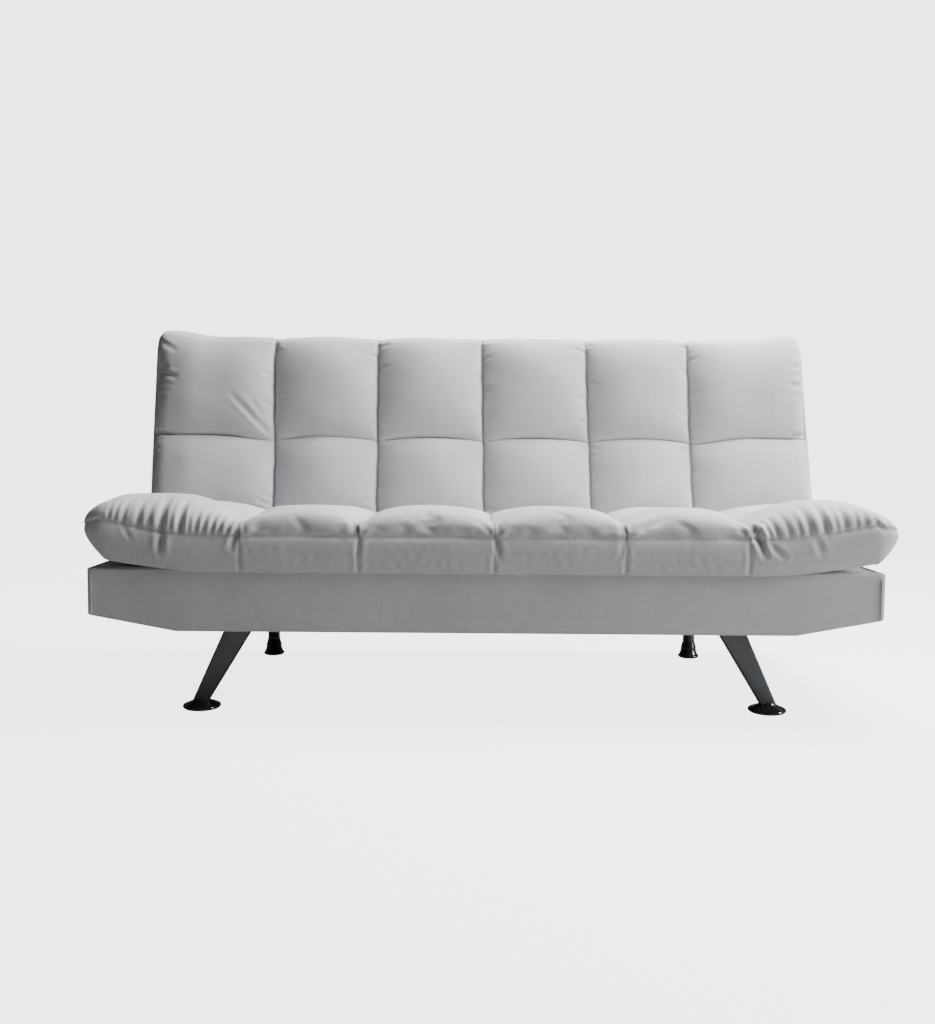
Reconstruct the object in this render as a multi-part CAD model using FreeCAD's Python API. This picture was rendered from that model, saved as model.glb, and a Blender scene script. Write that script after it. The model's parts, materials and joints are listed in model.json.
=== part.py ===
import FreeCAD, Part
import math
import os

# A click clack sofa bed, in millimetres. X runs along the sofa, -Y is the front, Z is up.
# The origin is on the floor, in the middle of the sofa's plan.

# Base box
base_width = 1760.0
base_depth = 780.0
base_height = 141.0
leg_height = 196.0
chamfer_run = 190.0
chamfer_rise = 36.0
base_corner_radius = 12.0
cover_t = 3.0
cover_fold = 12.0
rail_t = 22.0
plank_t = 25.0
front_plank_width = 130.0
rear_plank_width = 110.0
block_leg = 80.0
block_height = 78.0
dust_cover_t = 1.2
deck_t = 3.0

# Clearances
laid_gap = 0.3
running_gap = 0.05
cutout_gap = 2.0

# Cushion columns, the same for the seat and the back
column_pitch = 280.0
columns_per_side = 3

# Shape of a padded block along the sofa: share of its length and how full it is, and at the ends
# of a cushion also how far its outline is drawn in
block_stations = [(0.0, 0.0), (0.14, 0.62), (0.5, 1.0), (0.86, 0.62), (1.0, 0.0)]
seat_end_stations = [(0.0, 0.0, 1.0), (0.14, 0.6, 1.0), (0.28, 0.88, 1.0), (0.42, 1.0, 1.0),
                     (0.55, 1.0, 1.0), (0.68, 1.0, 1.0), (0.78, 0.98, 0.99), (0.87, 0.95, 0.93),
                     (0.94, 0.9, 0.8), (0.98, 0.85, 0.6), (1.0, 0.8, 0.4)]
back_end_stations = [(0.0, 0.0, 1.0), (0.12, 0.6, 1.0), (0.4, 1.0, 1.0), (0.65, 1.0, 1.0),
                     (0.85, 0.9, 0.99), (0.95, 0.75, 0.92), (1.0, 0.5, 0.72)]

# Seat cushion
seat_side_overhang = 42.0
seat_depth = 522.0
seat_overhang = 20.0
boxing_height = 75.0
tuck_height = 32.0
tuck_depth = 22.0
welt_inset = 8.0
brow_height = 22.0
brow_depth = 42.0
brow_drop = 7.0
brow_inset = 2.0
crown_depth = 110.0
seat_seam_height = 113.0
seat_puff = 20.0
seat_valley_height = 80.0
seat_valley_rise = 6.0
front_row_depth = 265.0
second_seam_height = 98.0
second_puff = 16.0
rear_shoulder_height = 94.0
rear_shoulder_inset = 36.0
rear_shoulder_fall = 12.0
rear_face_height = 55.0
rear_face_tuck = 2.0
end_lift_inset = 71.0
end_lift_run = 231.0
underside_lift = 24.0
welt_lift = 36.0
end_extra_crown = 20.0
seat_foam_t = 60.0
seat_foam_end = 332.0
seat_foam_edge = 35.0

# Slats of the seat and the back
slat_width = 53.0
slat_t = 8.0
slat_count = 9
holder_wall = 2.0
holder_depth = 30.0

# Hinge line and back cushion. Back sizes run up from the hinge line, and out from it to the rear.
hinge_setback = 58.0
beam_setback = 6.0
hinge_rise = 55.0
recline = 13.0
heel_radius = 50.0
back_side_overhang = 14.0
back_length = 529.0
back_row_seam = 228.0
back_seam_out = 46.0
back_valley_out = 38.0
back_puff = 24.0
back_top_out = 38.0
back_top_puff = 6.0
back_top_round = 22.0
back_valley_puff = 4.0
back_notch = 4.0
back_ear = 13.0
back_ear_run = 120.0
back_foam_t = 19.0
pocket_below = 8.0
pocket_top = 480.0
rear_panel_t = 3.0
rear_panel_edge = 8.0
frame_depth = 38.0
frame_rail = 40.0
hinge_notch = 60.0

# Hinge plates
plate_t = 4.0
plate_gap = 0.5
pin_radius = 6.0
rivet_head_radius = 7.5
rivet_head_t = 3.0
sector_radius = 34.0
tooth_depth = 5.5
tooth_half_width = 4.6
strap_half_width = 16.0
strap_length = 135.0
bolt_radius = 4.0
bolt_head_radius = 7.0
bolt_head_t = 5.0
bolt_length = 20.0
strap_bolts = (88.0, 118.0)
stop_angles = (-10.0, 0.0, 38.0, 77.0)
nose_angle = -100.0
pawl_reach = 40.0
pawl_radius = 45.0
pawl_pin_radius = 4.0
pawl_boss_radius = 8.0
pawl_bar = 7.0
seat_arm_drop = 90.0
seat_arm_eye = 20.0
seat_arm_edge = 4.0
spring_lug = 9.0
spring_t = 1.0

# Legs
plate_x = 110.0
plate_y = 90.0
leg_plate_t = 3.0
front_foot_inset = 223.0
front_foot_setback = 100.0
front_leg_lean = 28.5
front_leg_top = (65.0, 40.0)
front_leg_foot = (38.0, 28.0)
leg_corner = 11.0
rear_foot_inset = 280.0
rear_foot_setback = 78.0
post_radius = 17.0
bell_radius = 22.5
bell_top = 25.0
bell_rise = 22.0
front_disc_radius = 43.5
rear_disc_radius = 29.5
disc_t = 5.0
cone_top = 23.0
cone_radius = 16.0
glide_t = 2.0
glide_inset = 3.5
screw_radius = 2.2
screw_length = 18.0
screw_head_radius = 4.5
screw_head_t = 2.5
screw_inset = 14.0

# Rubber buffers under the folded back
buffer_radius = 12.0
buffer_end = 270.0
buffer_inset = 40.0

# Places that follow from the sizes above
base_half = base_width / 2
overall_depth = base_depth + seat_overhang
seat_front = -overall_depth / 2
seat_rear = seat_front + seat_depth
base_front = seat_front + seat_overhang
base_rear = overall_depth / 2
base_top = leg_height + base_height
seat_half_width = base_half + seat_side_overhang
back_half_width = base_half + back_side_overhang
end_lift_full = seat_half_width - end_lift_inset
end_lift_start = end_lift_full - end_lift_run
seat_foam_half_width = seat_half_width - seat_foam_end
front_foot_x = base_half - front_foot_inset
front_foot_y = base_front + front_foot_setback
rear_foot_x = base_half - rear_foot_inset
rear_foot_y = base_rear - rear_foot_setback
buffer_x = base_half - buffer_end
rail_inset = cover_t + laid_gap
rail_top = base_top - cover_t
plank_bottom = leg_height + cover_t + laid_gap
end_rail_inner = base_half - rail_inset - rail_t
front_rail_inner = base_front + rail_inset + rail_t
rear_rail_inner = base_rear - rail_inset - rail_t
hinge_y = seat_rear + hinge_setback
hinge_z = base_top + hinge_rise
beam_front = seat_rear + beam_setback
beam_rear = beam_front + rail_t
seat_arm_x = end_rail_inner - plate_t
back_arm_x = seat_arm_x - plate_gap - plate_t
stile_outer = back_arm_x
stile_inner = stile_outer - rail_t
slat_pitch = 2 * stile_inner / slat_count
pocket_half = stile_outer + laid_gap
frame_rear = heel_radius - rear_panel_t - laid_gap
frame_front = frame_rear - frame_depth
slat_plane = frame_front - slat_t - holder_wall
foam_front = slat_plane - laid_gap - back_foam_t
seat_bottom = base_top + laid_gap


def vec(x, y, z):
    return FreeCAD.Vector(x, y, z)


def box(x0, x1, y0, y1, z0, z1):
    return Part.makeBox(x1 - x0, y1 - y0, z1 - z0, vec(x0, y0, z0))


def cylinder_x(radius, x0, x1, y, z):
    return Part.makeCylinder(radius, x1 - x0, vec(x0, y, z), vec(1, 0, 0))


def cylinder_z(radius, x, y, z0, z1):
    return Part.makeCylinder(radius, z1 - z0, vec(x, y, z0))


def prism(points, direction):
    wire = Part.makePolygon(points + [points[0]])
    return Part.Face(wire).extrude(direction)


def prism_x(points, x0, x1):
    return prism([vec(x0, y, z) for y, z in points], vec(x1 - x0, 0, 0))


def prism_y(points, y0, y1):
    return prism([vec(x, y0, z) for x, z in points], vec(0, y1 - y0, 0))


def mirrored(shape):
    return shape.mirror(vec(0, 0, 0), vec(1, 0, 0))


def pair(shape):
    return Part.makeCompound([mirrored(shape), shape])


def leaned(shape):
    """Turns a piece modelled with the back straight up to the back's resting slope."""
    turned = shape.copy()
    turned.rotate(vec(0, hinge_y, hinge_z), vec(1, 0, 0), -recline)
    return turned


def spread(count, pitch):
    return [(i - (count - 1) / 2) * pitch for i in range(count)]


def save(name, shape):
    shape.exportStep("parts/" + name + ".step")
    print(name, len(shape.Solids), round(shape.Volume / 1000.0, 1), shape.isValid())


# Base

def base_outline(inset, top):
    """Front outline of the base box, drawn in by an inset on its sides and underside."""
    slope = math.hypot(chamfer_run, chamfer_rise)
    half = base_half - inset
    bottom = leg_height + inset
    knee = base_half - chamfer_run + inset * (chamfer_run - slope) / chamfer_rise
    tip = bottom + (half - knee) * chamfer_rise / chamfer_run
    right = [(knee, bottom), (half, tip), (half, top)]
    return [(-x, z) for x, z in reversed(right)] + right


def base_cover():
    outer = prism_y(base_outline(0.0, base_top), base_front, base_rear)
    corners = [e for e in outer.Edges if abs(abs(e.CenterOfMass.x) - base_half) < 1 and
               abs(e.tangentAt(e.FirstParameter).z) > 0.9]
    outer = outer.makeFillet(base_corner_radius, corners)
    room = prism_y(base_outline(cover_t, rail_top), base_front + cover_t, base_rear - cover_t)
    mouth = rail_inset + cover_fold
    top_hole = box(-base_half + mouth, base_half - mouth, base_front + mouth, base_rear - mouth,
                   leg_height + base_height / 2, base_top + 1)
    floor_hole = box(-base_half + mouth, base_half - mouth, base_front + mouth, base_rear - mouth,
                     leg_height - 1, leg_height + chamfer_rise + base_height / 2)
    return outer.cut(room).cut(top_hole).cut(floor_hole)


def long_rail(y0, y1):
    return prism_y(base_outline(rail_inset, rail_top - laid_gap), y0, y1)


def end_rail():
    room = prism_y(base_outline(rail_inset, rail_top - laid_gap), front_rail_inner, rear_rail_inner)
    blank = room.common(box(end_rail_inner, base_half, base_front, base_rear, 0, base_top))
    for y, z in seat_arm_bolts():
        blank = blank.cut(cylinder_x(bolt_radius, end_rail_inner - 1, end_rail_inner + bolt_length, y, z))
    return blank


def hinge_beam():
    return box(-end_rail_inner, end_rail_inner, beam_front, beam_rear,
               plank_bottom + plank_t, rail_top - laid_gap).common(
        prism_y(base_outline(rail_inset, base_top), beam_front, beam_rear))


def leg_planks():
    front_x = front_leg_top_x()
    front = box(front_x - front_plank_width / 2, front_x + front_plank_width / 2,
                front_rail_inner, beam_rear, plank_bottom, plank_bottom + plank_t)
    rear = box(rear_foot_x - rear_plank_width / 2, rear_foot_x + rear_plank_width / 2,
               beam_rear, rear_rail_inner, plank_bottom, plank_bottom + plank_t)
    for x, y in screw_places(front_x, front_foot_y):
        front = front.cut(cylinder_z(screw_radius, x, y, plank_bottom - 1, plank_bottom + screw_length))
    for x, y in screw_places(rear_foot_x, rear_foot_y):
        rear = rear.cut(cylinder_z(screw_radius, x, y, plank_bottom - 1, plank_bottom + screw_length))
    return Part.makeCompound([mirrored(front), mirrored(rear), front, rear])


def corner_blocks():
    blocks = []
    for y, towards in ((front_rail_inner, 1), (rear_rail_inner, -1)):
        corner = [vec(end_rail_inner, y, 0), vec(end_rail_inner - block_leg, y, 0),
                  vec(end_rail_inner, y + towards * block_leg, 0)]
        block = prism(corner, vec(0, 0, block_height))
        block.translate(vec(0, 0, rail_top - laid_gap - block_height))
        blocks += [mirrored(block), block]
    return Part.makeCompound(blocks)


def dust_cover():
    """A thin cloth under the base, cut out round the leg plates."""
    upper = prism_y(base_outline(rail_inset, rail_top), base_front + rail_inset, base_rear - rail_inset)
    lower = prism_y(base_outline(rail_inset - dust_cover_t, rail_top), base_front + rail_inset + cover_fold,
                    base_rear - rail_inset - cover_fold)
    mouth = rail_inset + cover_fold + laid_gap
    inside = box(-base_half + mouth, base_half - mouth, base_front + mouth, base_rear - mouth,
                 leg_height, leg_height + base_height / 2)
    cloth = lower.cut(upper).common(inside)
    for x, y in ((front_leg_top_x(), front_foot_y), (rear_foot_x, rear_foot_y)):
        hole = box(x - plate_x / 2 - cutout_gap, x + plate_x / 2 + cutout_gap,
                   y - plate_y / 2 - cutout_gap, y + plate_y / 2 + cutout_gap, 0, base_top)
        cloth = cloth.cut(hole).cut(mirrored(hole))
    return cloth


def seat_deck():
    edge = rail_inset + cover_fold + laid_gap
    return box(-base_half + edge, base_half - edge, base_front + edge, beam_front + rail_t / 2,
               rail_top, base_top)


def rear_deck():
    edge = rail_inset + cover_fold + laid_gap
    deck = box(-base_half + edge, base_half - edge, beam_front + rail_t / 2 + laid_gap, base_rear - edge,
               rail_top, base_top)
    slot = box(back_arm_x - cutout_gap, end_rail_inner + cutout_gap, beam_rear,
               seat_arm_rear() + cutout_gap, rail_top - 1, base_top + 1)
    return deck.cut(slot).cut(mirrored(slot))


def back_buffers():
    y = base_rear - buffer_inset - rail_t
    top = hinge_z - heel_radius - laid_gap
    return pair(cylinder_z(buffer_radius, buffer_x, y, base_top, top))


def seat_slats():
    top = rail_top - laid_gap - holder_wall
    slats = []
    for x in spread(slat_count, slat_pitch):
        slats.append(box(x - slat_width / 2, x + slat_width / 2,
                         front_rail_inner + holder_wall + laid_gap, beam_front - holder_wall - laid_gap,
                         top - slat_t, top))
    return Part.makeCompound(slats)


def holder(x, y0, y1, z0, z1, pocket):
    """A plastic pocket, one wall thick, round the end of a slat."""
    shell = box(x - slat_width / 2 - holder_wall, x + slat_width / 2 + holder_wall, y0, y1, z0, z1)
    return shell.cut(pocket)


def seat_slat_holders():
    top = rail_top - laid_gap
    bottom = top - slat_t - 2 * holder_wall
    holders = []
    for x in spread(slat_count, slat_pitch):
        pocket = box(x - slat_width / 2, x + slat_width / 2, front_rail_inner + holder_wall,
                     beam_front - holder_wall, bottom + holder_wall, top - holder_wall)
        holders.append(holder(x, front_rail_inner, front_rail_inner + holder_depth, bottom, top, pocket))
        holders.append(holder(x, beam_front - holder_depth, beam_front, bottom, top, pocket))
    return Part.makeCompound(holders)


# Cushions

def closed_wire(start, steps):
    """A closed outline from a start point, each step a line to an end or an arc over a middle to an end."""
    edges = []
    here = start
    for step in steps:
        if len(step) == 1:
            edges.append(Part.LineSegment(here, step[0]).toShape())
        else:
            edges.append(Part.Arc(here, step[0], step[1]).toShape())
        here = step[-1]
    return Part.Wire(edges)


def ease(value, start, end):
    share = min(max((value - start) / (end - start), 0.0), 1.0)
    return share * share * (3 - 2 * share)


def lift_at(x, height):
    """How far the seat's underside and welt curl up towards its end, fading out to the crown."""
    share = min(max(x - end_lift_start, 0.0) / (end_lift_full - end_lift_start), 1.0)
    under = underside_lift * share ** 2.5
    welt = welt_lift * share ** 1.7
    if height < boxing_height:
        return under + (welt - under) * height / boxing_height
    return welt * max(1 - (height - boxing_height) / (seat_seam_height + seat_puff - boxing_height), 0.0)


def seat_section(x, puff, shrink):
    """The seat cushion's outline at one place along it: full at a block's middle, low at a seam."""
    extra = end_extra_crown * ease(x, (columns_per_side - 1) * column_pitch, end_lift_start + column_pitch / 3)
    front = seat_front + welt_inset
    nose_z = seat_bottom + boxing_height + welt_lift * 0.3
    nose_front = front + crown_depth
    nose_rear = seat_rear - rear_shoulder_inset * 1.6

    def at(y, height):
        z = seat_bottom + height + lift_at(x, height)
        turn_y = min(max(y, nose_front), nose_rear)
        return vec(x, turn_y + (y - turn_y) * shrink, nose_z + (z - nose_z) * shrink)

    valley = seat_front + front_row_depth
    crown = seat_seam_height + seat_puff * puff + extra * puff
    second = second_seam_height + second_puff * puff + extra * puff / 3
    tuck = front + tuck_depth
    swell = seat_front + brow_inset + (welt_inset - brow_inset) * (1 - puff)
    shoulder_middle = (rear_shoulder_height + rear_face_height) / 2 + rear_shoulder_fall * 0.7
    steps = [
        (at((seat_front + tuck) / 2 - tuck_depth / 4, tuck_height / 3), at(seat_front + 2, tuck_height)),
        (at(seat_front, (tuck_height + boxing_height) / 2), at(front, boxing_height)),
        (at(swell, boxing_height + brow_height), at(front + brow_depth, crown - brow_drop)),
        (at(front + crown_depth, crown), at(valley, seat_valley_height + seat_valley_rise * puff)),
        (at((valley + seat_rear) / 2, second), at(seat_rear - rear_shoulder_inset, rear_shoulder_height)),
        (at(seat_rear - rear_shoulder_fall, shoulder_middle), at(seat_rear, rear_face_height)),
        (at(seat_rear - rear_face_tuck, 0.0),),
        (at(tuck, 0.0),),
    ]
    return closed_wire(at(tuck, 0.0), steps)


def back_section(x, puff, shrink):
    """The back cushion's outline at one place along it, with the back straight up."""
    ear = back_ear * ease(x, back_half_width - back_ear_run, back_half_width)
    middle = back_length / 2

    def at(up, out):
        return vec(x, hinge_y + out * shrink,
                   hinge_z + middle + (up - middle) * (1 - (1 - shrink) * 0.05))

    half = heel_radius * math.sqrt(0.5)
    top = back_length - back_notch * (1 - puff) + ear
    steps = [
        (at(-half, half), at(-heel_radius, 0.0)),
        (at(-half, -half), at(0.0, -heel_radius)),
        (at(back_row_seam / 2, -back_seam_out - back_puff * puff),
         at(back_row_seam, -back_valley_out - back_valley_puff * puff)),
        (at((back_row_seam + top) / 2, -back_seam_out - back_puff * puff),
         at(top - back_top_round, -back_top_out - back_top_puff * puff)),
        (at(top, 0.0), at(top - back_top_round / 2, heel_radius)),
        (at(0.0, heel_radius),),
    ]
    return closed_wire(at(0.0, heel_radius), steps)


def blocks_along(half_width, section, end_stations):
    """Half of a cushion: padded blocks between seams, the last one closed by a drawn-in end."""
    blocks = []
    for i in range(columns_per_side - 1):
        start = i * column_pitch
        wires = [section(start + share * column_pitch, puff, 1.0) for share, puff in block_stations]
        blocks.append(Part.makeLoft(wires, True, False))
    start = (columns_per_side - 1) * column_pitch
    length = half_width - start
    wires = [section(start + share * length, puff, shrink) for share, puff, shrink in end_stations]
    blocks.append(Part.makeLoft(wires, True, False))
    half = blocks[0]
    for block in blocks[1:]:
        half = half.fuse(block)
    return half.fuse(mirrored(half))


def seat_cushion():
    form = blocks_along(seat_half_width, seat_section, seat_end_stations)
    below = box(-base_half, base_half, base_front - seat_overhang, base_rear, leg_height, seat_bottom)
    form = form.cut(below)
    pocket = box(-seat_foam_half_width - laid_gap, seat_foam_half_width + laid_gap,
                 seat_front + seat_foam_edge - laid_gap, seat_rear - seat_foam_edge + laid_gap,
                 seat_bottom - 1, seat_bottom + seat_foam_t + laid_gap)
    return form.cut(pocket)


def seat_foam():
    return box(-seat_foam_half_width, seat_foam_half_width, seat_front + seat_foam_edge,
               seat_rear - seat_foam_edge, seat_bottom, seat_bottom + seat_foam_t)


def back_box(x0, x1, out0, out1, up0, up1):
    """A box in the back's own directions, with the back straight up."""
    return box(x0, x1, hinge_y + out0, hinge_y + out1, hinge_z + up0, hinge_z + up1)


def rear_recess():
    half = pocket_half - rear_panel_edge
    return back_box(-half, half, frame_rear + laid_gap, 2 * heel_radius, rear_panel_edge / 2,
                    pocket_top + rear_panel_edge)


def back_cushion():
    form = blocks_along(back_half_width, back_section, back_end_stations)
    pocket = back_box(-pocket_half, pocket_half, foam_front - laid_gap, frame_rear + laid_gap,
                      -pocket_below, pocket_top)
    form = form.cut(pocket).cut(rear_recess())
    notch = back_box(stile_outer - laid_gap, back_half_width + 10, -2 * heel_radius, 2 * heel_radius,
                     -heel_radius - 10, hinge_notch)
    arm_room = back_box(pocket_half, seat_arm_x + bolt_head_t + 1, strap_out() - strap_half_width - 2,
                        strap_out() + strap_half_width + 2, hinge_notch - 1, strap_length + 4)
    room = notch.fuse(arm_room)
    return leaned(form.cut(room).cut(mirrored(room)))


def back_foam():
    half = back_arm_x - rivet_head_t - cutout_gap
    return leaned(back_box(-half, half, foam_front,
                           foam_front + back_foam_t, -pocket_below + laid_gap, pocket_top - laid_gap))


def back_cover():
    half = pocket_half - rear_panel_edge - laid_gap
    return leaned(back_box(-half, half, frame_rear + laid_gap, heel_radius,
                           rear_panel_edge / 2 + laid_gap, pocket_top + rear_panel_edge - laid_gap))


# Back frame

def frame_bottom():
    return -pocket_below + laid_gap


def frame_top():
    return pocket_top - laid_gap


def back_stile():
    stile = back_box(stile_inner, stile_outer, frame_front, frame_rear, frame_bottom(), frame_top())
    for up in strap_bolts:
        stile = stile.cut(strap_bolt_shank(up))
    return stile


def back_cross_rail(up0, up1):
    return leaned(back_box(-stile_inner, stile_inner, frame_front, frame_rear, up0, up1))


def back_posts():
    post = back_box(column_pitch - rail_t / 2, column_pitch + rail_t / 2, frame_front, frame_rear,
                    frame_bottom() + frame_rail, frame_top() - frame_rail)
    return leaned(pair(post))


def back_slats():
    slats = []
    for x in spread(slat_count, slat_pitch):
        slats.append(back_box(x - slat_width / 2, x + slat_width / 2, frame_front - slat_t, frame_front,
                              frame_bottom() + holder_wall + laid_gap, frame_top() - holder_wall - laid_gap))
    return leaned(Part.makeCompound(slats))


def back_slat_holders():
    holders = []
    for x in spread(slat_count, slat_pitch):
        pocket = back_box(x - slat_width / 2, x + slat_width / 2, frame_front - slat_t, frame_front + 1,
                          frame_bottom() + holder_wall, frame_top() - holder_wall)
        for up in (frame_bottom(), frame_top() - holder_depth):
            shell = back_box(x - slat_width / 2 - holder_wall, x + slat_width / 2 + holder_wall,
                             slat_plane, frame_front, up, up + holder_depth)
            holders.append(shell.cut(pocket))
    return leaned(Part.makeCompound(holders))


# Hinges, modelled at the sofa's +X end

def polar(radius, angle, across=0.0):
    """A point round the hinge line: out along an angle, then across it towards larger angles."""
    turn = math.radians(angle)
    return (hinge_y + radius * math.cos(turn) - across * math.sin(turn),
            hinge_z + radius * math.sin(turn) + across * math.cos(turn))


def strap_out():
    return frame_front + frame_depth / 2


def pawl_pin_place():
    return polar(pawl_radius, nose_angle, pawl_reach)


def seat_arm_bolts():
    low = hinge_z - hinge_rise - seat_arm_drop + 2.5 * bolt_radius
    return [(hinge_y - seat_arm_eye + 3 * bolt_radius, low), (pawl_pin_place()[0], low),
            (hinge_y - 2 * bolt_radius, low + 9 * bolt_radius)]


def strap_bolt_shank(up):
    return cylinder_x(bolt_radius, back_arm_x - bolt_length + plate_t, back_arm_x + plate_t,
                      hinge_y + strap_out(), hinge_z + up)


def bolt(x, y, z, towards):
    """A bolt whose head bears on a plate face at x, with its shank running towards -1 or +1."""
    head = Part.makeCylinder(bolt_head_radius, bolt_head_t, vec(x, y, z), vec(-towards, 0, 0))
    shank = Part.makeCylinder(bolt_radius, bolt_length, vec(x, y, z), vec(towards, 0, 0))
    return head.fuse(shank)


def seat_arm_rear():
    return pawl_pin_place()[0] + pawl_boss_radius + seat_arm_edge


def seat_arm():
    pawl_y, pawl_z = pawl_pin_place()
    foot = hinge_z - hinge_rise - seat_arm_drop
    rear = seat_arm_rear()
    points = [(hinge_y - seat_arm_eye, foot), (rear, foot), (rear, pawl_z + seat_arm_edge),
              (hinge_y + seat_arm_eye * 0.4, hinge_z + seat_arm_eye * 0.9),
              (hinge_y - seat_arm_eye, hinge_z)]
    plate = prism_x(points, seat_arm_x, end_rail_inner)
    plate = plate.fuse(cylinder_x(seat_arm_eye, seat_arm_x, end_rail_inner, hinge_y, hinge_z))
    plate = plate.cut(cylinder_x(pin_radius + running_gap, seat_arm_x - 1, end_rail_inner + 1,
                                 hinge_y, hinge_z))
    plate = plate.cut(cylinder_x(pawl_pin_radius, seat_arm_x - 1, end_rail_inner + 1, pawl_y, pawl_z))
    for y, z in seat_arm_bolts():
        plate = plate.cut(cylinder_x(bolt_radius, seat_arm_x - 1, end_rail_inner + 1, y, z))
    lug = box(back_arm_x + laid_gap, seat_arm_x, *spring_foot())
    return plate.fuse(lug)


def spring_foot():
    y, z = polar(pawl_radius + sector_radius, nose_angle, pawl_reach / 2)
    return (y, y + spring_lug, z - spring_lug, z)


def back_arm():
    disc = cylinder_x(sector_radius, back_arm_x, back_arm_x + plate_t, hinge_y, hinge_z)
    inner, outer = strap_out() - strap_half_width, strap_out() + strap_half_width
    outline = [(-strap_half_width, 0), (strap_half_width, strap_half_width), (outer, hinge_notch),
               (outer, strap_length), (inner, strap_length), (inner, hinge_notch)]
    strap = prism_x([(hinge_y + out, hinge_z + up) for out, up in outline], back_arm_x,
                    back_arm_x + plate_t)
    arm = disc.fuse(strap)
    arm = arm.cut(cylinder_x(pin_radius, back_arm_x - 1, back_arm_x + plate_t + 1, hinge_y, hinge_z))
    for stop in stop_angles:
        # The slope of the back is added here, because the arm is modelled straight up
        angle = nose_angle + stop + recline
        floor = sector_radius - tooth_depth
        notch = [polar(floor, angle, -tooth_half_width * 0.8), polar(floor, angle, tooth_half_width),
                 polar(sector_radius + 2, angle, tooth_half_width * 1.3),
                 polar(sector_radius + 2, angle, -tooth_half_width)]
        arm = arm.cut(prism_x(notch, back_arm_x - 1, back_arm_x + plate_t + 1))
    for up in strap_bolts:
        arm = arm.cut(strap_bolt_shank(up))
    return arm


def pawl():
    """The ratchet pawl, parked just clear of the sector's teeth."""
    x0 = back_arm_x + laid_gap
    x1 = back_arm_x + plate_t
    pin_y, pin_z = pawl_pin_place()
    under = pawl_radius - 2.5
    bar = [polar(under, nose_angle, -4), polar(under, nose_angle, pawl_reach),
           polar(under + pawl_bar, nose_angle, pawl_reach), polar(under + pawl_bar, nose_angle, -4)]
    tip = sector_radius + plate_gap
    nose = [polar(tip, nose_angle, -2.2), polar(tip, nose_angle, 2.2),
            polar(under + 1, nose_angle, 3.0), polar(under + 1, nose_angle, -3.0)]
    body = prism_x(bar, x0, x1).fuse(prism_x(nose, x0, x1))
    body = body.fuse(cylinder_x(pawl_boss_radius, x0, x1, pin_y, pin_z))
    return body.cut(cylinder_x(pawl_pin_radius + running_gap, x0 - 1, x1 + 1, pin_y, pin_z))


def pawl_pin():
    y, z = pawl_pin_place()
    return cylinder_x(pawl_pin_radius, back_arm_x + laid_gap, end_rail_inner, y, z)


def pivot_pin():
    """A rivet with its head inside the back arm, on which the arm turns in the seat arm's eye."""
    head = cylinder_x(rivet_head_radius, back_arm_x - rivet_head_t, back_arm_x, hinge_y, hinge_z)
    return head.fuse(cylinder_x(pin_radius, back_arm_x, end_rail_inner - laid_gap, hinge_y, hinge_z))


def pawl_spring():
    """A bent leaf from the seat arm's lug to the pawl's outer edge."""
    y0, y1, z0, z1 = spring_foot()
    tip_y, tip_z = polar(pawl_radius - 2.5 + pawl_bar + laid_gap, nose_angle, 6)
    x0 = back_arm_x + 2 * laid_gap
    start = vec(x0, y0 - laid_gap, z1)
    end = vec(x0, tip_y, tip_z)
    middle = vec(x0, (start.y + end.y) / 2 - 3, (start.z + end.z) / 2)
    step = vec(0, -spring_t, 0)
    edges = [Part.Arc(start, middle, end).toShape(), Part.LineSegment(end, end + step).toShape(),
             Part.Arc(end + step, middle + step, start + step).toShape(),
             Part.LineSegment(start + step, start).toShape()]
    return Part.Face(Part.Wire(edges)).extrude(vec(plate_t - 3 * laid_gap, 0, 0))


def hinge_bolts():
    """Bolts of both seat arms into the end rails."""
    bolts = [bolt(seat_arm_x, y, z, 1) for y, z in seat_arm_bolts()]
    return Part.makeCompound([mirrored(b) for b in bolts] + bolts)


def strap_bolts_group():
    """Bolts of both back arms into the stiles."""
    bolts = [bolt(back_arm_x + plate_t, hinge_y + strap_out(), hinge_z + up, -1) for up in strap_bolts]
    return leaned(Part.makeCompound([mirrored(b) for b in bolts] + bolts))


# Legs

def front_leg_top_x():
    return front_foot_x - (leg_height - cone_top) * math.tan(math.radians(front_leg_lean))


def screw_places(x, y):
    return [(x + sx * (plate_x / 2 - screw_inset), y + sy * (plate_y / 2 - screw_inset))
            for sx in (-1, 1) for sy in (-1, 1)]


def leg_plate(x, y):
    plate = box(x - plate_x / 2, x + plate_x / 2, y - plate_y / 2, y + plate_y / 2,
                plank_bottom - leg_plate_t, plank_bottom)
    for sx, sy in screw_places(x, y):
        plate = plate.cut(cylinder_z(screw_radius, sx, sy, leg_height - 1, plank_bottom + 1))
    return plate


def blade_section(x, y, z, size):
    """The blade's outline at one height: flat in front, with well rounded corners behind."""
    half_x = size[0] / 2
    half_y = size[1] / 2
    bend = leg_corner * math.sqrt(0.5)
    left, right = x - half_x, x + half_x
    front, rear = y - half_y, y + half_y
    nick = leg_corner / 3
    steps = [
        (vec(right - nick, front, z),),
        (vec(right - nick + nick * math.sqrt(0.5), front + nick - nick * math.sqrt(0.5), z),
         vec(right, front + nick, z)),
        (vec(right, rear - leg_corner, z),),
        (vec(right - leg_corner + bend, rear - leg_corner + bend, z), vec(right - leg_corner, rear, z)),
        (vec(left + leg_corner, rear, z),),
        (vec(left + leg_corner - bend, rear - leg_corner + bend, z), vec(left, rear - leg_corner, z)),
        (vec(left, front + nick, z),),
        (vec(left + nick - nick * math.sqrt(0.5), front + nick - nick * math.sqrt(0.5), z),
         vec(left + nick, front, z)),
    ]
    return closed_wire(vec(left + nick, front, z), steps)


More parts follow.
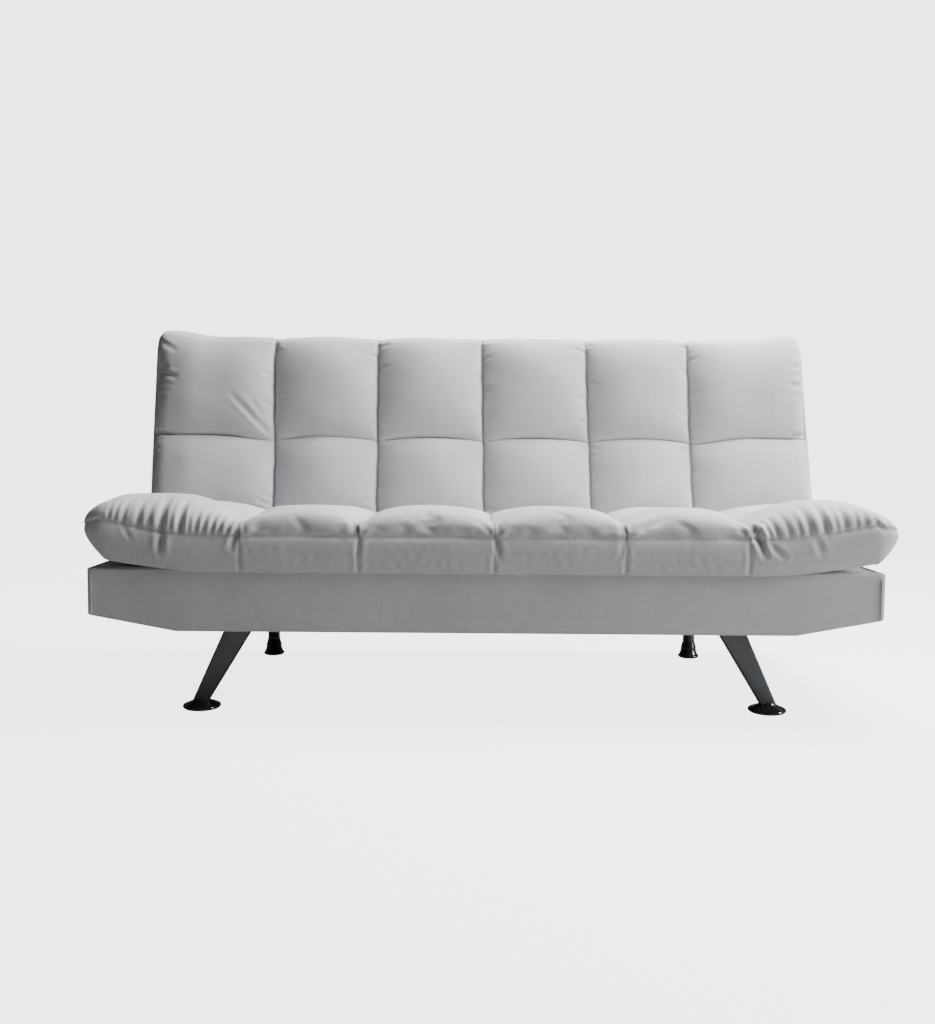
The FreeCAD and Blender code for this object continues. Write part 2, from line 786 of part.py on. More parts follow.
def front_leg():
    """A tapered blade that splays outwards, welded under its top plate."""
    top_x = front_leg_top_x()
    wires = [blade_section(front_foot_x, front_foot_y, cone_top, front_leg_foot),
             blade_section(top_x, front_foot_y, plank_bottom - leg_plate_t, front_leg_top)]
    return Part.makeLoft(wires, True, True).fuse(leg_plate(top_x, front_foot_y))


def turned(profile, x, y):
    """A solid of revolution about an upright line, from a list of radius and height."""
    wire = Part.makePolygon([vec(r, 0, z) for r, z in profile + [profile[0]]])
    solid = Part.Face(wire).revolve(vec(0, 0, 0), vec(0, 0, 1), 360)
    solid.translate(vec(x, y, 0))
    return solid


def front_feet():
    rim = glide_t + disc_t
    profile = [(0, glide_t), (front_disc_radius, glide_t), (front_disc_radius, rim),
               (front_disc_radius - 4, rim + 1.5), (cone_radius, cone_top), (0, cone_top)]
    return pair(turned(profile, front_foot_x, front_foot_y))


def rear_leg():
    """A straight post that flares to a bell above its foot."""
    top = plank_bottom - leg_plate_t
    profile = [(0, bell_top), (bell_radius, bell_top), (bell_radius - 1.5, bell_top + bell_rise * 0.35),
               (post_radius, bell_top + bell_rise), (post_radius, top), (0, top)]
    return turned(profile, rear_foot_x, rear_foot_y).fuse(leg_plate(rear_foot_x, rear_foot_y))


def rear_feet():
    rim = glide_t + disc_t
    profile = [(0, glide_t), (rear_disc_radius, glide_t), (rear_disc_radius, rim),
               (bell_radius, bell_top), (0, bell_top)]
    return pair(turned(profile, rear_foot_x, rear_foot_y))


def foot_glides():
    front = cylinder_z(front_disc_radius - glide_inset, front_foot_x, front_foot_y, 0, glide_t)
    rear = cylinder_z(rear_disc_radius - glide_inset, rear_foot_x, rear_foot_y, 0, glide_t)
    return Part.makeCompound([mirrored(front), mirrored(rear), front, rear])


def leg_screws():
    screws = []
    for x, y in screw_places(front_leg_top_x(), front_foot_y) + screw_places(rear_foot_x, rear_foot_y):
        seat = plank_bottom - leg_plate_t
        screw = cylinder_z(screw_head_radius, x, y, seat - screw_head_t, seat)
        screw = screw.fuse(cylinder_z(screw_radius, x, y, seat, plank_bottom + screw_length))
        screws += [mirrored(screw), screw]
    return Part.makeCompound(screws)


os.makedirs("parts", exist_ok=True)

save("base_front_rail", long_rail(base_front + rail_inset, front_rail_inner))
save("base_rear_rail", long_rail(rear_rail_inner, base_rear - rail_inset))
save("base_left_end_rail", mirrored(end_rail()))
save("base_right_end_rail", end_rail())
save("base_hinge_beam", hinge_beam())
save("base_leg_planks", leg_planks())
save("base_corner_blocks", corner_blocks())
save("base_cover", base_cover())
save("base_dust_cover", dust_cover())
save("seat_deck", seat_deck())
save("rear_deck", rear_deck())
save("back_buffers", back_buffers())
save("seat_slats", seat_slats())
save("seat_slat_holders", seat_slat_holders())
save("seat_cushion", seat_cushion())
save("seat_foam", seat_foam())
save("front_left_leg", mirrored(front_leg()))
save("front_right_leg", front_leg())
save("rear_left_leg", mirrored(rear_leg()))
save("rear_right_leg", rear_leg())
save("front_feet", front_feet())
save("rear_feet", rear_feet())
save("foot_glides", foot_glides())
save("leg_screws", leg_screws())
save("seat_arm_bolts", hinge_bolts())
save("left_seat_arm", mirrored(seat_arm()))
save("right_seat_arm", seat_arm())
save("left_pawl_pin", mirrored(pawl_pin()))
save("right_pawl_pin", pawl_pin())
save("left_pawl_spring", mirrored(pawl_spring()))
save("right_pawl_spring", pawl_spring())
save("left_pawl", mirrored(pawl()))
save("right_pawl", pawl())
save("left_back_arm", leaned(mirrored(back_arm())))
save("right_back_arm", leaned(back_arm()))
save("left_pivot_pin", mirrored(pivot_pin()))
save("right_pivot_pin", pivot_pin())
save("back_arm_bolts", strap_bolts_group())
save("back_left_stile", leaned(mirrored(back_stile())))
save("back_right_stile", leaned(back_stile()))
save("back_bottom_rail", back_cross_rail(frame_bottom(), frame_bottom() + frame_rail))
save("back_top_rail", back_cross_rail(frame_top() - frame_rail, frame_top()))
save("back_posts", back_posts())
save("back_slats", back_slats())
save("back_slat_holders", back_slat_holders())
save("back_foam", back_foam())
save("back_cushion", back_cushion())
save("back_cover", back_cover())
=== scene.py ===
import json
import math
import bpy
import numpy as np
from mathutils import Matrix, Vector, noise


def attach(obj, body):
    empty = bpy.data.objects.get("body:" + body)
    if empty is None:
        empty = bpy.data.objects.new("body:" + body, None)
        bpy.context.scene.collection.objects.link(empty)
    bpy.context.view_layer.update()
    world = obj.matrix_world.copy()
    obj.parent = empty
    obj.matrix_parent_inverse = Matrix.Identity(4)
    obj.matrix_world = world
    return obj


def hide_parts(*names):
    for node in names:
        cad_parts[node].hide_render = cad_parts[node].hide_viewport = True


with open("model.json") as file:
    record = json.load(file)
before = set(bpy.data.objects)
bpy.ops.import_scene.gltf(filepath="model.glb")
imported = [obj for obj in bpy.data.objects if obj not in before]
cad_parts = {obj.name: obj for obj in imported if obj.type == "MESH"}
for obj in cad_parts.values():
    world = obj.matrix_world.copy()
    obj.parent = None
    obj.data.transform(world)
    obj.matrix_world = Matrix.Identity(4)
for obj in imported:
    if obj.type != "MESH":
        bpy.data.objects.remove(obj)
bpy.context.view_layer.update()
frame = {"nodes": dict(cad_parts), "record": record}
nodes = frame["nodes"]

# Sizes of the sofa in metres, as in the part
BASE_HALF = 0.880
BASE_FRONT = -0.380
BASE_REAR = 0.400
LEG_HEIGHT = 0.196
BASE_TOP = 0.337
CHAMFER_RUN = 0.190
CHAMFER_RISE = 0.036
SEAT_FRONT = -0.400
SEAT_REAR = 0.122
SEAT_BOTTOM = 0.3373
HINGE_Y = 0.180
HINGE_Z = 0.392
RECLINE = math.radians(13)
BACK_LENGTH = 0.529
HEEL = 0.050

# Camera, floor and light
CAMERA_PLACE = (-0.043, -2.68, 0.634)
CAMERA_DOWN = 4.15
CAMERA_ROLL = 0.45
LENS = 40.36
FLOOR_SIZE = 60.0
FLOOR_GLOW = 3.6
BACKDROP_GLOW = 3.65
ROOM_LIGHT = 0.055
WHITE = (1, 1, 1, 1)


def add_camera():
    data = bpy.data.cameras.new("camera")
    camera = bpy.data.objects.new("camera", data)
    bpy.context.scene.collection.objects.link(camera)
    data.sensor_fit = "HORIZONTAL"
    data.sensor_width = 36.0
    data.lens = LENS
    data.clip_end = FLOOR_SIZE
    pitch = math.radians(90 - CAMERA_DOWN)
    turn = Matrix.Rotation(pitch, 4, "X") @ Matrix.Rotation(math.radians(CAMERA_ROLL), 4, "Z")
    camera.matrix_world = Matrix.Translation(CAMERA_PLACE) @ turn
    bpy.context.scene.camera = camera


def area_light(name, place, aim, size, power, colour):
    data = bpy.data.lights.new(name, "AREA")
    data.shape = "RECTANGLE"
    data.size, data.size_y = size
    data.energy = power
    data.color = colour
    lamp = bpy.data.objects.new(name, data)
    bpy.context.scene.collection.objects.link(lamp)
    lamp.location = place
    lamp.rotation_euler = (Vector(aim) - Vector(place)).to_track_quat("-Z", "Y").to_euler()


def add_studio():
    """A wide pale floor, a background that only the camera sees as pale, and two lamps."""
    deselect()
    bpy.ops.mesh.primitive_plane_add(size=FLOOR_SIZE, location=(0, 0, 0))
    floor = bpy.context.object
    floor.name = "studio_floor"
    floor.data.materials.append(studio_material())
    world = bpy.data.worlds.new("studio_world")
    bpy.context.scene.world = world
    world.use_nodes = True
    tree = world.node_tree
    dim = tree.nodes["Background"]
    dim.inputs["Color"].default_value = (0.95, 0.97, 1.0, 1)
    dim.inputs["Strength"].default_value = ROOM_LIGHT
    pale = add_node(tree, "ShaderNodeBackground")
    pale.inputs["Color"].default_value = WHITE
    pale.inputs["Strength"].default_value = BACKDROP_GLOW
    seen = add_node(tree, "ShaderNodeLightPath")
    both = add_node(tree, "ShaderNodeMixShader")
    tree.links.new(seen.outputs["Is Camera Ray"], both.inputs[0])
    tree.links.new(dim.outputs[0], both.inputs[1])
    tree.links.new(pale.outputs[0], both.inputs[2])
    tree.links.new(both.outputs[0], tree.nodes["World Output"].inputs[0])
    area_light("overhead", (1.2, 0.35, 3.0), (0.1, -0.05, 0.3), (1.8, 1.2), 265, (1.0, 1.0, 1.0))
    area_light("key", (3.5, -0.95, 1.45), (0, 0, 0.5), (0.7, 1.3), 140, (1.0, 0.99, 0.97))


def deselect():
    if bpy.context.object and bpy.context.object.mode != "OBJECT":
        bpy.ops.object.mode_set(mode="OBJECT")
    bpy.ops.object.select_all(action="DESELECT")


# Shader nodes

def add_node(tree, kind, **values):
    node = tree.nodes.new(kind)
    for key, value in values.items():
        setattr(node, key, value)
    return node


def feed(tree, sockets, values):
    """Gives each socket its value, a plain one or another node's output; None leaves it."""
    for socket, value in zip(sockets, values):
        if isinstance(value, (int, float, tuple)):
            socket.default_value = value
        elif value is not None:
            tree.links.new(value, socket)


def math_node(tree, operation, a, b=None, c=None):
    node = add_node(tree, "ShaderNodeMath", operation=operation)
    feed(tree, node.inputs, (a, b, c))
    return node.outputs[0]


def mix_colour(tree, share, a, b, blend="MIX"):
    node = add_node(tree, "ShaderNodeMix", data_type="RGBA", blend_type=blend)
    feed(tree, (node.inputs[0], node.inputs[6], node.inputs[7]), (share, a, b))
    return node.outputs[2]


def mix_value(tree, share, a, b):
    node = add_node(tree, "ShaderNodeMix", data_type="FLOAT")
    feed(tree, (node.inputs[0], node.inputs[2], node.inputs[3]), (share, a, b))
    return node.outputs[0]


def ramp(tree, value, low, high):
    node = add_node(tree, "ShaderNodeMapRange", interpolation_type="SMOOTHSTEP")
    feed(tree, node.inputs, (value, low, high))
    return node.outputs[0]


def noise_node(tree, vector, scale, detail=3.0, rough=0.5):
    node = add_node(tree, "ShaderNodeTexNoise")
    sockets = [node.inputs[name] for name in ("Vector", "Scale", "Detail", "Roughness")]
    feed(tree, sockets, (vector, scale, detail, rough))
    return node.outputs["Fac"]


def surface_place(tree):
    return add_node(tree, "ShaderNodeTexCoord").outputs["Object"]


def facing(tree, normal):
    """The surface normal's three parts."""
    geometry = add_node(tree, "ShaderNodeNewGeometry")
    return split_xyz(tree, geometry.outputs[normal])


def split_xyz(tree, vector):
    node = add_node(tree, "ShaderNodeSeparateXYZ")
    tree.links.new(vector, node.inputs[0])
    return node.outputs


def stretched(tree, vector, scale, turn=(0, 0, 0)):
    node = add_node(tree, "ShaderNodeMapping")
    feed(tree, [node.inputs[name] for name in ("Vector", "Rotation", "Scale")], (vector, turn, scale))
    return node.outputs[0]


def add_relief(tree, shader, height, strength, distance):
    node = add_node(tree, "ShaderNodeBump")
    sockets = [node.inputs[name] for name in ("Height", "Strength", "Distance")]
    feed(tree, sockets, (height, strength, distance))
    tree.links.new(node.outputs[0], shader.inputs["Normal"])


# Effects that more than one material uses

def new_group(name, label, kind, value):
    """A group with one input; gives the group and that input."""
    group = bpy.data.node_groups.new(name, "ShaderNodeTree")
    socket = group.interface.new_socket(label, in_out="INPUT", socket_type=kind)
    socket.default_value = value
    return group, group.nodes.new("NodeGroupInput").outputs[label]


def end_group(group, values):
    """Adds the group's outputs, each a value that changes over the surface."""
    for label in values:
        group.interface.new_socket(label, in_out="OUTPUT", socket_type="NodeSocketFloat")
    leave = group.nodes.new("NodeGroupOutput")
    for label, value in values.items():
        group.links.new(value, leave.inputs[label])
    return group


def weave_group():
    """A plain weave laid along the face's own main directions, with slubs in its threads."""
    group, threads = new_group("cloth_weave", "Threads per metre", "NodeSocketFloat", 900.0)
    place = surface_place(group)
    x, y, z = split_xyz(group, place)
    normal = facing(group, "True Normal")
    is_side = math_node(group, "GREATER_THAN", math_node(group, "ABSOLUTE", normal[0]), 0.8)
    is_up = math_node(group, "GREATER_THAN", math_node(group, "ABSOLUTE", normal[2]), 0.72)
    across = mix_value(group, is_side, x, y)
    along = mix_value(group, is_up, z, y)
    waves = []
    for way in (across, along):
        turns = math_node(group, "MULTIPLY", math_node(group, "MULTIPLY", way, threads), math.pi)
        waves.append(math_node(group, "SINE", turns))
    height = math_node(group, "MULTIPLY_ADD", math_node(group, "MULTIPLY", *waves), 0.5, 0.5)
    slub_across = noise_node(group, stretched(group, place, (18, 18, 420)), 1.0, 2.0)
    slub_along = noise_node(group, stretched(group, place, (420, 18, 18)), 1.0, 2.0)
    slub = math_node(group, "MULTIPLY", math_node(group, "ADD", slub_across, slub_along), 0.5)
    cloud = noise_node(group, place, 5.0, 4.0, 0.6)
    return end_group(group, {"Height": height, "Slub": slub, "Cloud": cloud})


def grain_group():
    """Wood grain with darker lines and pores, drawn out as its input says."""
    group, along = new_group("wood_grain", "Along", "NodeSocketVector", (2.0, 40.0, 40.0))
    stretch = add_node(group, "ShaderNodeVectorMath", operation="MULTIPLY")
    feed(group, stretch.inputs, (surface_place(group), along))
    grain = noise_node(group, stretch.outputs[0], 1.0, 5.0, 0.6)
    pores = noise_node(group, stretch.outputs[0], 9.0, 2.0, 0.5)
    return end_group(group, {"Grain": grain, "Pores": pores})


def wear_group():
    """Fine scratches, smears and dust for metal and painted parts."""
    group, scale = new_group("surface_wear", "Scale", "NodeSocketFloat", 1.0)
    stretch = add_node(group, "ShaderNodeVectorMath", operation="SCALE")
    feed(group, (stretch.inputs[0], stretch.inputs["Scale"]), (surface_place(group), scale))
    smears = noise_node(group, stretch.outputs[0], 22.0, 4.0, 0.6)
    lines = stretched(group, stretch.outputs[0], (30, 700, 300), (0.4, 0.2, 0.7))
    scratches = ramp(group, noise_node(group, lines, 1.0, 2.0), 0.62, 0.75)
    up = ramp(group, facing(group, "Normal")[2], 0.3, 1.0)
    dust = math_node(group, "MULTIPLY", up, ramp(group, smears, 0.35, 0.7))
    return end_group(group, {"Smears": smears, "Scratches": scratches, "Dust": dust})


GROUPS = {}


def group_node(tree, maker, label, value):
    """Places a group, made at its first use, and sets its input."""
    if maker not in GROUPS:
        GROUPS[maker] = maker()
    node = add_node(tree, "ShaderNodeGroup", node_tree=GROUPS[maker])
    node.inputs[label].default_value = value
    return node.outputs


# Materials

# Painted shade: the dark colour the cloth is drawn towards in its seams, welt, folds and creases
SEAM_SHADE = (0.20, 0.195, 0.19, 1)
DUST_COLOUR = (0.45, 0.44, 0.42, 1)

# Cloths: colour, shade, threads per metre, relief, roughness and sheen
CLOTHS = {
    "cushion_fabric": ((0.635, 0.63, 0.657, 1), (0.565, 0.56, 0.585, 1), 640, 0.35, 0.85, 0.25),
    "base_fabric": ((0.63, 0.625, 0.632, 1), (0.575, 0.571, 0.578, 1), 640, 0.35, 0.85, 0.2),
    "lining": ((0.035, 0.035, 0.038, 1), (0.025, 0.025, 0.028, 1), 420, 0.5, 0.9, 0.1),
}

# Woods: light colour, dark colour, how the grain is drawn out, and roughness
WOODS = {
    "timber": ((0.66, 0.50, 0.32, 1), (0.50, 0.36, 0.22, 1), (3.0, 30.0, 45.0), 0.7),
    "slat_wood": ((0.74, 0.60, 0.42, 1), (0.62, 0.47, 0.31, 1), (60.0, 3.0, 3.0), 0.5),
    "board": ((0.52, 0.40, 0.27, 1), (0.43, 0.33, 0.22, 1), (40.0, 40.0, 60.0), 0.8),
}

# Paints, plastics and metals: colour, shade, roughness, metal, coat, fineness of the wear, and dust
HARD_FINISHES = {
    "slat_holder": ((0.03, 0.03, 0.032, 1), (0.022, 0.022, 0.024, 1), 0.45, 0.0, 0.0, 2.0, 0.15),
    "rubber": ((0.03, 0.03, 0.03, 1), (0.02, 0.02, 0.02, 1), 0.8, 0.0, 0.0, 2.0, 0.4),
    "leg_paint": ((0.075, 0.084, 0.094, 1), (0.062, 0.070, 0.080, 1), 0.33, 0.2, 0.35, 1.0, 0.05),
    "post_black": ((0.030, 0.030, 0.033, 1), (0.022, 0.022, 0.025, 1), 0.25, 0.1, 0.6, 1.0, 0.08),
    "foot_black": ((0.065, 0.065, 0.070, 1), (0.045, 0.045, 0.050, 1), 0.14, 0.6, 0.8, 1.0, 0.05),
    "glide": ((0.05, 0.05, 0.052, 1), (0.035, 0.035, 0.037, 1), 0.6, 0.0, 0.0, 2.0, 0.15),
    "hinge_steel": ((0.045, 0.045, 0.048, 1), (0.03, 0.03, 0.033, 1), 0.4, 0.6, 0.2, 1.5, 0.15),
    "zinc_steel": ((0.62, 0.62, 0.6, 1), (0.5, 0.5, 0.5, 1), 0.35, 0.95, 0.0, 2.0, 0.15),
    "spring_steel": ((0.42, 0.42, 0.44, 1), (0.3, 0.3, 0.32, 1), 0.3, 0.95, 0.0, 2.0, 0.15),
}


def new_material(name):
    material = bpy.data.materials.new(name)
    material.use_nodes = True
    tree = material.node_tree
    return material, tree, tree.nodes["Principled BSDF"]


def studio_material():
    """A pale floor: it looks near white to the camera and throws only a little light back."""
    material, tree, shader = new_material("studio_floor")
    cloud = noise_node(tree, surface_place(tree), 3.0, 3)
    tone = mix_colour(tree, cloud, (0.34, 0.34, 0.34, 1), (0.36, 0.36, 0.36, 1))
    tree.links.new(tone, shader.inputs["Base Color"])
    seen = add_node(tree, "ShaderNodeLightPath").outputs["Is Camera Ray"]
    tree.links.new(math_node(tree, "MULTIPLY", seen, FLOOR_GLOW), shader.inputs["Emission Strength"])
    shader.inputs["Emission Color"].default_value = WHITE
    shader.inputs["Roughness"].default_value = 0.9
    return material


def cloth_material(name, colour, shade, threads, relief, rough, sheen):
    material, tree, shader = new_material(name)
    weave = group_node(tree, weave_group, "Threads per metre", threads)
    base = mix_colour(tree, ramp(tree, weave["Cloud"], 0.3, 0.7), shade, colour)
    thread = mix_colour(tree, ramp(tree, weave["Slub"], 0.35, 0.65), (0.93, 0.93, 0.94, 1), WHITE)
    base = mix_colour(tree, 1.0, base, thread, "MULTIPLY")
    # Painted shade in the hollows between the threads
    weave_hollow_shade = mix_colour(tree, weave["Height"], (0.9, 0.9, 0.9, 1), WHITE)
    base = mix_colour(tree, 1.0, base, weave_hollow_shade, "MULTIPLY")
    # Painted shade: darkens the colour towards the seam shade where the piece marks a seam, welt, fold or
    # crease
    seam = add_node(tree, "ShaderNodeAttribute", attribute_name="painted_crease_shade")
    base = mix_colour(tree, ramp(tree, seam.outputs["Fac"], 0.05, 0.95), base, SEAM_SHADE)
    tree.links.new(base, shader.inputs["Base Color"])
    height = math_node(tree, "MULTIPLY_ADD", weave["Slub"], 0.8, weave["Height"])
    add_relief(tree, shader, height, relief, 0.0006)
    roughness = math_node(tree, "MULTIPLY_ADD", weave["Slub"], 0.12, rough - 0.06)
    tree.links.new(roughness, shader.inputs["Roughness"])
    shader.inputs["Sheen Weight"].default_value = sheen
    shader.inputs["Sheen Roughness"].default_value = 0.5
    shader.inputs["Specular IOR Level"].default_value = 0.25
    return material


def wood_material(name, light, dark, along, rough):
    material, tree, shader = new_material(name)
    wood = group_node(tree, grain_group, "Along", along)
    tone = mix_colour(tree, ramp(tree, wood["Grain"], 0.3, 0.7), dark, light)
    pores = mix_colour(tree, ramp(tree, wood["Pores"], 0.55, 0.75), WHITE, (0.78, 0.72, 0.66, 1))
    tree.links.new(mix_colour(tree, 1.0, tone, pores, "MULTIPLY"), shader.inputs["Base Color"])
    add_relief(tree, shader, wood["Grain"], 0.25, 0.0008)
    roughness = math_node(tree, "MULTIPLY_ADD", wood["Pores"], 0.2, rough - 0.1)
    tree.links.new(roughness, shader.inputs["Roughness"])
    return material


def hard_material(name, colour, shade, rough, metal, coat, fineness, dusty):
    material, tree, shader = new_material(name)
    wear = group_node(tree, wear_group, "Scale", fineness)
    tone = mix_colour(tree, ramp(tree, wear["Smears"], 0.35, 0.65), shade, colour)
    dust = math_node(tree, "MULTIPLY", wear["Dust"], dusty)
    tree.links.new(mix_colour(tree, dust, tone, DUST_COLOUR), shader.inputs["Base Color"])
    roughness = math_node(tree, "MULTIPLY_ADD", wear["Smears"], 0.16, rough - 0.08)
    roughness = math_node(tree, "MULTIPLY_ADD", wear["Scratches"], 0.10, roughness)
    tree.links.new(roughness, shader.inputs["Roughness"])
    add_relief(tree, shader, wear["Scratches"], 0.06, 0.0004)
    shader.inputs["Metallic"].default_value = metal
    shader.inputs["Coat Weight"].default_value = coat
    shader.inputs["Coat Roughness"].default_value = 0.06
    return material


def foam_material():
    material, tree, shader = new_material("foam")
    place = surface_place(tree)
    cells = add_node(tree, "ShaderNodeTexVoronoi")
    feed(tree, (cells.inputs["Vector"], cells.inputs["Scale"]), (place, 420.0))
    cloud = noise_node(tree, place, 8.0, 3.0)
    tone = mix_colour(tree, cloud, (0.74, 0.69, 0.55, 1), (0.84, 0.8, 0.68, 1))
    tree.links.new(tone, shader.inputs["Base Color"])
    add_relief(tree, shader, cells.outputs["Distance"], 0.6, 0.001)
    shader.inputs["Roughness"].default_value = 0.95
    return material


def make_materials():
    made = {"foam": foam_material()}
    for finishes, maker in ((CLOTHS, cloth_material), (WOODS, wood_material), (HARD_FINISHES, hard_material)):
        for name, values in finishes.items():
            made[name] = maker(name, *values)
    return made


# Outlines

def arc(a, m, b, count):
    """Points from a towards b on the circle through a, m and b, leaving out b."""
    ax, ay = a
    bx, by = m
    cx, cy = b
    d = 2 * (ax * (by - cy) + bx * (cy - ay) + cx * (ay - by))
    if abs(d) < 1e-9:
        return line(a, b, count)
    ux = ((ax * ax + ay * ay) * (by - cy) + (bx * bx + by * by) * (cy - ay)
          + (cx * cx + cy * cy) * (ay - by)) / d
    uy = ((ax * ax + ay * ay) * (cx - bx) + (bx * bx + by * by) * (ax - cx)
          + (cx * cx + cy * cy) * (bx - ax)) / d
    radius = math.hypot(ax - ux, ay - uy)
    start = math.atan2(ay - uy, ax - ux)
    middle = math.atan2(by - uy, bx - ux)
    end = math.atan2(cy - uy, cx - ux)
    sweep = (end - start) % (2 * math.pi)
    if (middle - start) % (2 * math.pi) > sweep:
        sweep -= 2 * math.pi
    turns = [start + sweep * i / count for i in range(count)]
    return [(ux + radius * math.cos(turn), uy + radius * math.sin(turn)) for turn in turns]


def line(a, b, count):
    return [(a[0] + (b[0] - a[0]) * i / count, a[1] + (b[1] - a[1]) * i / count) for i in range(count)]


def swelled(a, b, bulge, near_a, near_b, count):
    """Points from a towards b on a padded outline; the ends' powers say how steeply it leaves them."""
    points = []
    for i in range(count):
        t = 0.5 - 0.5 * math.cos(math.pi * i / count)
        full = max(1 - abs(2 * t - 1) ** 2.4, 0.0) ** (near_a if t < 0.5 else near_b)
        points.append((a[0] + (b[0] - a[0]) * t + bulge * full, a[1] + (b[1] - a[1]) * t))
    return points


def ease(value, start, end):
    share = min(max((value - start) / (end - start), 0.0), 1.0)
    return share * share * (3 - 2 * share)


def drawn_in(share, start, power, least):
    """How far an end section is drawn in, 1 up to start and least at the very end."""
    if share <= start:
        return 1.0
    t = (share - start) / (1 - start)
    return least + (1 - least) * max(1 - t ** power, 0.0) ** (1 / power)


# Cushions: seams and ends along the sofa

SEAT_SEAMS = (-0.543, -0.282, 0.017, 0.306, 0.5775)
SEAT_ENDS = (-0.894, 0.914)
BACK_SEAMS = (-0.571, -0.290, -0.002, 0.286, 0.563)
BACK_SEAMS_UPPER = (-0.577, -0.292, -0.005, 0.282, 0.561)
BACK_SEAMS_LOWER = (-0.566, -0.288, 0.001, 0.291, 0.566)
BACK_ENDS = (-0.908, 0.893)
SEAM_HOLD = 0.004

# How steeply a block rises from its seams and how flat its middle is
SEAT_BLOCK = (0.58, 2.6)
BACK_BLOCK = (0.68, 1.95)

# How an end is closed: where along it that starts, how round it is, and the share left at its tip
SEAT_LEFT_CLOSE = (0.72, 2.2, 0.06)
SEAT_RIGHT_CLOSE = (0.62, 1.7, 0.06)
SEAT_UNDER_CLOSE = (0.85, 1.15, 0.06)
SEAT_PLAN_CLOSE = (0.80, 2.3, 0.55)
BACK_CLOSE = (0.86, 2.2, 0.40)


def end_share(x, seams, ends):
    """How far x is from the outer seam to the cushion's end, 0 inside the seams."""
    if x > seams[-1]:
        return (x - seams[-1]) / (ends[1] - seams[-1])
    if x < seams[0]:
        return (x - seams[0]) / (ends[0] - seams[0])
    return 0.0


def block_puff(x, seams, ends, tight, power):
    """How full a cushion is at x: 0 on a seam, 1 in a block's middle; outer blocks stay full."""
    share = end_share(x, seams, ends)
    if share > 0 or x in (seams[0], seams[-1]):
        rise = min(share / 0.42, 1.0)
        return max(1 - (1 - rise) ** 2.4, 0.0) ** tight
    for a, b in zip(seams, seams[1:]):
        if a <= x <= b:
            share = (x - a) / (b - a)
            return max(1 - abs(2 * share - 1) ** power, 0.0) ** tight
    return 0.0


def place_along(seams, ends, fine, coarse, pleated):
    """Places along the cushion, on every seam, closer together beside seams and in the pleated ends."""
    stops = [ends[0]] + list(seams) + [ends[1]]
    places = []
    for k, (a, b) in enumerate(zip(stops, stops[1:])):
        outer = k in (0, len(stops) - 2)
        step = pleated if outer else coarse
        count = max(int(round((b - a) / step)), 4)
        steps = np.ones(count)
        if not outer:
            edge = np.linspace(0, 1, count)
            steps = 1 - (1 - fine / coarse) * np.exp(-(np.minimum(edge, 1 - edge) * (b - a) / 0.022) ** 2)
        turns = np.concatenate([[0], np.cumsum(steps)]) / steps.sum()
        places += [a + (b - a) * t for t in turns[:-1]]
    places.append(ends[1])
    return np.array(places)


def seam_hold(places, seams):
    """1 on a seam that runs across the cushion, falling off beside it."""
    near = np.min(np.abs(places[:, None] - np.array(seams)[None, :]), axis=1)
    return np.exp(-(near / SEAM_HOLD) ** 2)


def row_band(rows, *bands):
    """One value for each row round the outline, 0 outside the bands of first row, last row and value."""
    values = np.zeros(rows)
    for first, last, value in bands:
        values[first:last] = value
    return values


# Cushion surfaces: grids of points, with a column at each place along and a row for each point round

def smooth_rows(grid, keep, times):
    """Softens the outline between the rows that stay sharp."""
    free = np.ones(grid.shape[1])
    for k in keep:
        free[k % grid.shape[1]] = 0.0
    for _ in range(times):
        around = (np.roll(grid, 1, axis=1) + np.roll(grid, -1, axis=1)) / 2
        grid = grid + (around - grid) * 0.5 * free[None, :, None]
    return grid


def pressed(grid, press):
    """Moves each point of the grid outwards by its press."""
    along = np.gradient(grid, axis=0)
    around = (np.roll(grid, -1, axis=1) - np.roll(grid, 1, axis=1)) / 2
    normal = np.cross(along, around)
    length = np.linalg.norm(normal, axis=2, keepdims=True)
    return grid + normal / np.maximum(length, 1e-9) * press[:, :, None]


def heights_from(grid, row):
    """Distance round the outline from one row, in metres, positive towards higher rows."""
    steps = np.linalg.norm(np.diff(grid, axis=1), axis=2)
    total = np.concatenate([np.zeros((grid.shape[0], 1)), np.cumsum(steps, axis=1)], axis=1)
    return total - total[:, row:row + 1]


def fold_field(x, height, folds):
    """How far folds press the cover in: each is a valley beside a low ridge, fading up from the welt."""
    total = np.zeros_like(x)
    height = np.clip(height, -1, 1)
    for place, lean_by, depth, width, reach in folds:
        off = (x - place - lean_by * np.maximum(height, 0)) / (width * 0.8)
        shape = -np.exp(-off ** 2) + 0.55 * np.exp(-((np.abs(off) - 1.7) / 0.9) ** 2)
        start = np.clip(height / 0.006, 0, 1)
        fade = np.where(height >= 0, start * np.exp(-np.maximum(height / reach, 0) ** 3), 0)
        total += depth * 1.15 * shape * fade
    return total


def crease_field(u, v, creases):
    """How far short creases press the cover in, each from one point to another, beside low ridges."""
    total = np.zeros(np.broadcast(u, v).shape)
    for u0, v0, u1, v1, depth, width in creases:
        run = (u1 - u0) ** 2 + (v1 - v0) ** 2
        t = np.clip(((u - u0) * (u1 - u0) + (v - v0) * (v1 - v0)) / run, 0, 1)
        off = np.hypot(u - u0 - t * (u1 - u0), v - v0 - t * (v1 - v0)) / width
        shape = -np.exp(-off ** 2) + 0.5 * np.exp(-((off - 1.7) / 0.8) ** 2)
        total += depth * shape * np.sin(np.pi * np.clip(t * 0.96 + 0.02, 0, 1)) ** 0.5
    return total


def lumps(grid, size, amount, seed):
    """A slow unevenness of the filling."""
    out = np.zeros(grid.shape[:2])
    for i, j in np.ndindex(out.shape):
        out[i, j] = noise.noise(Vector(grid[i, j]) / size + Vector((seed, 0, 0)))
    return out * amount


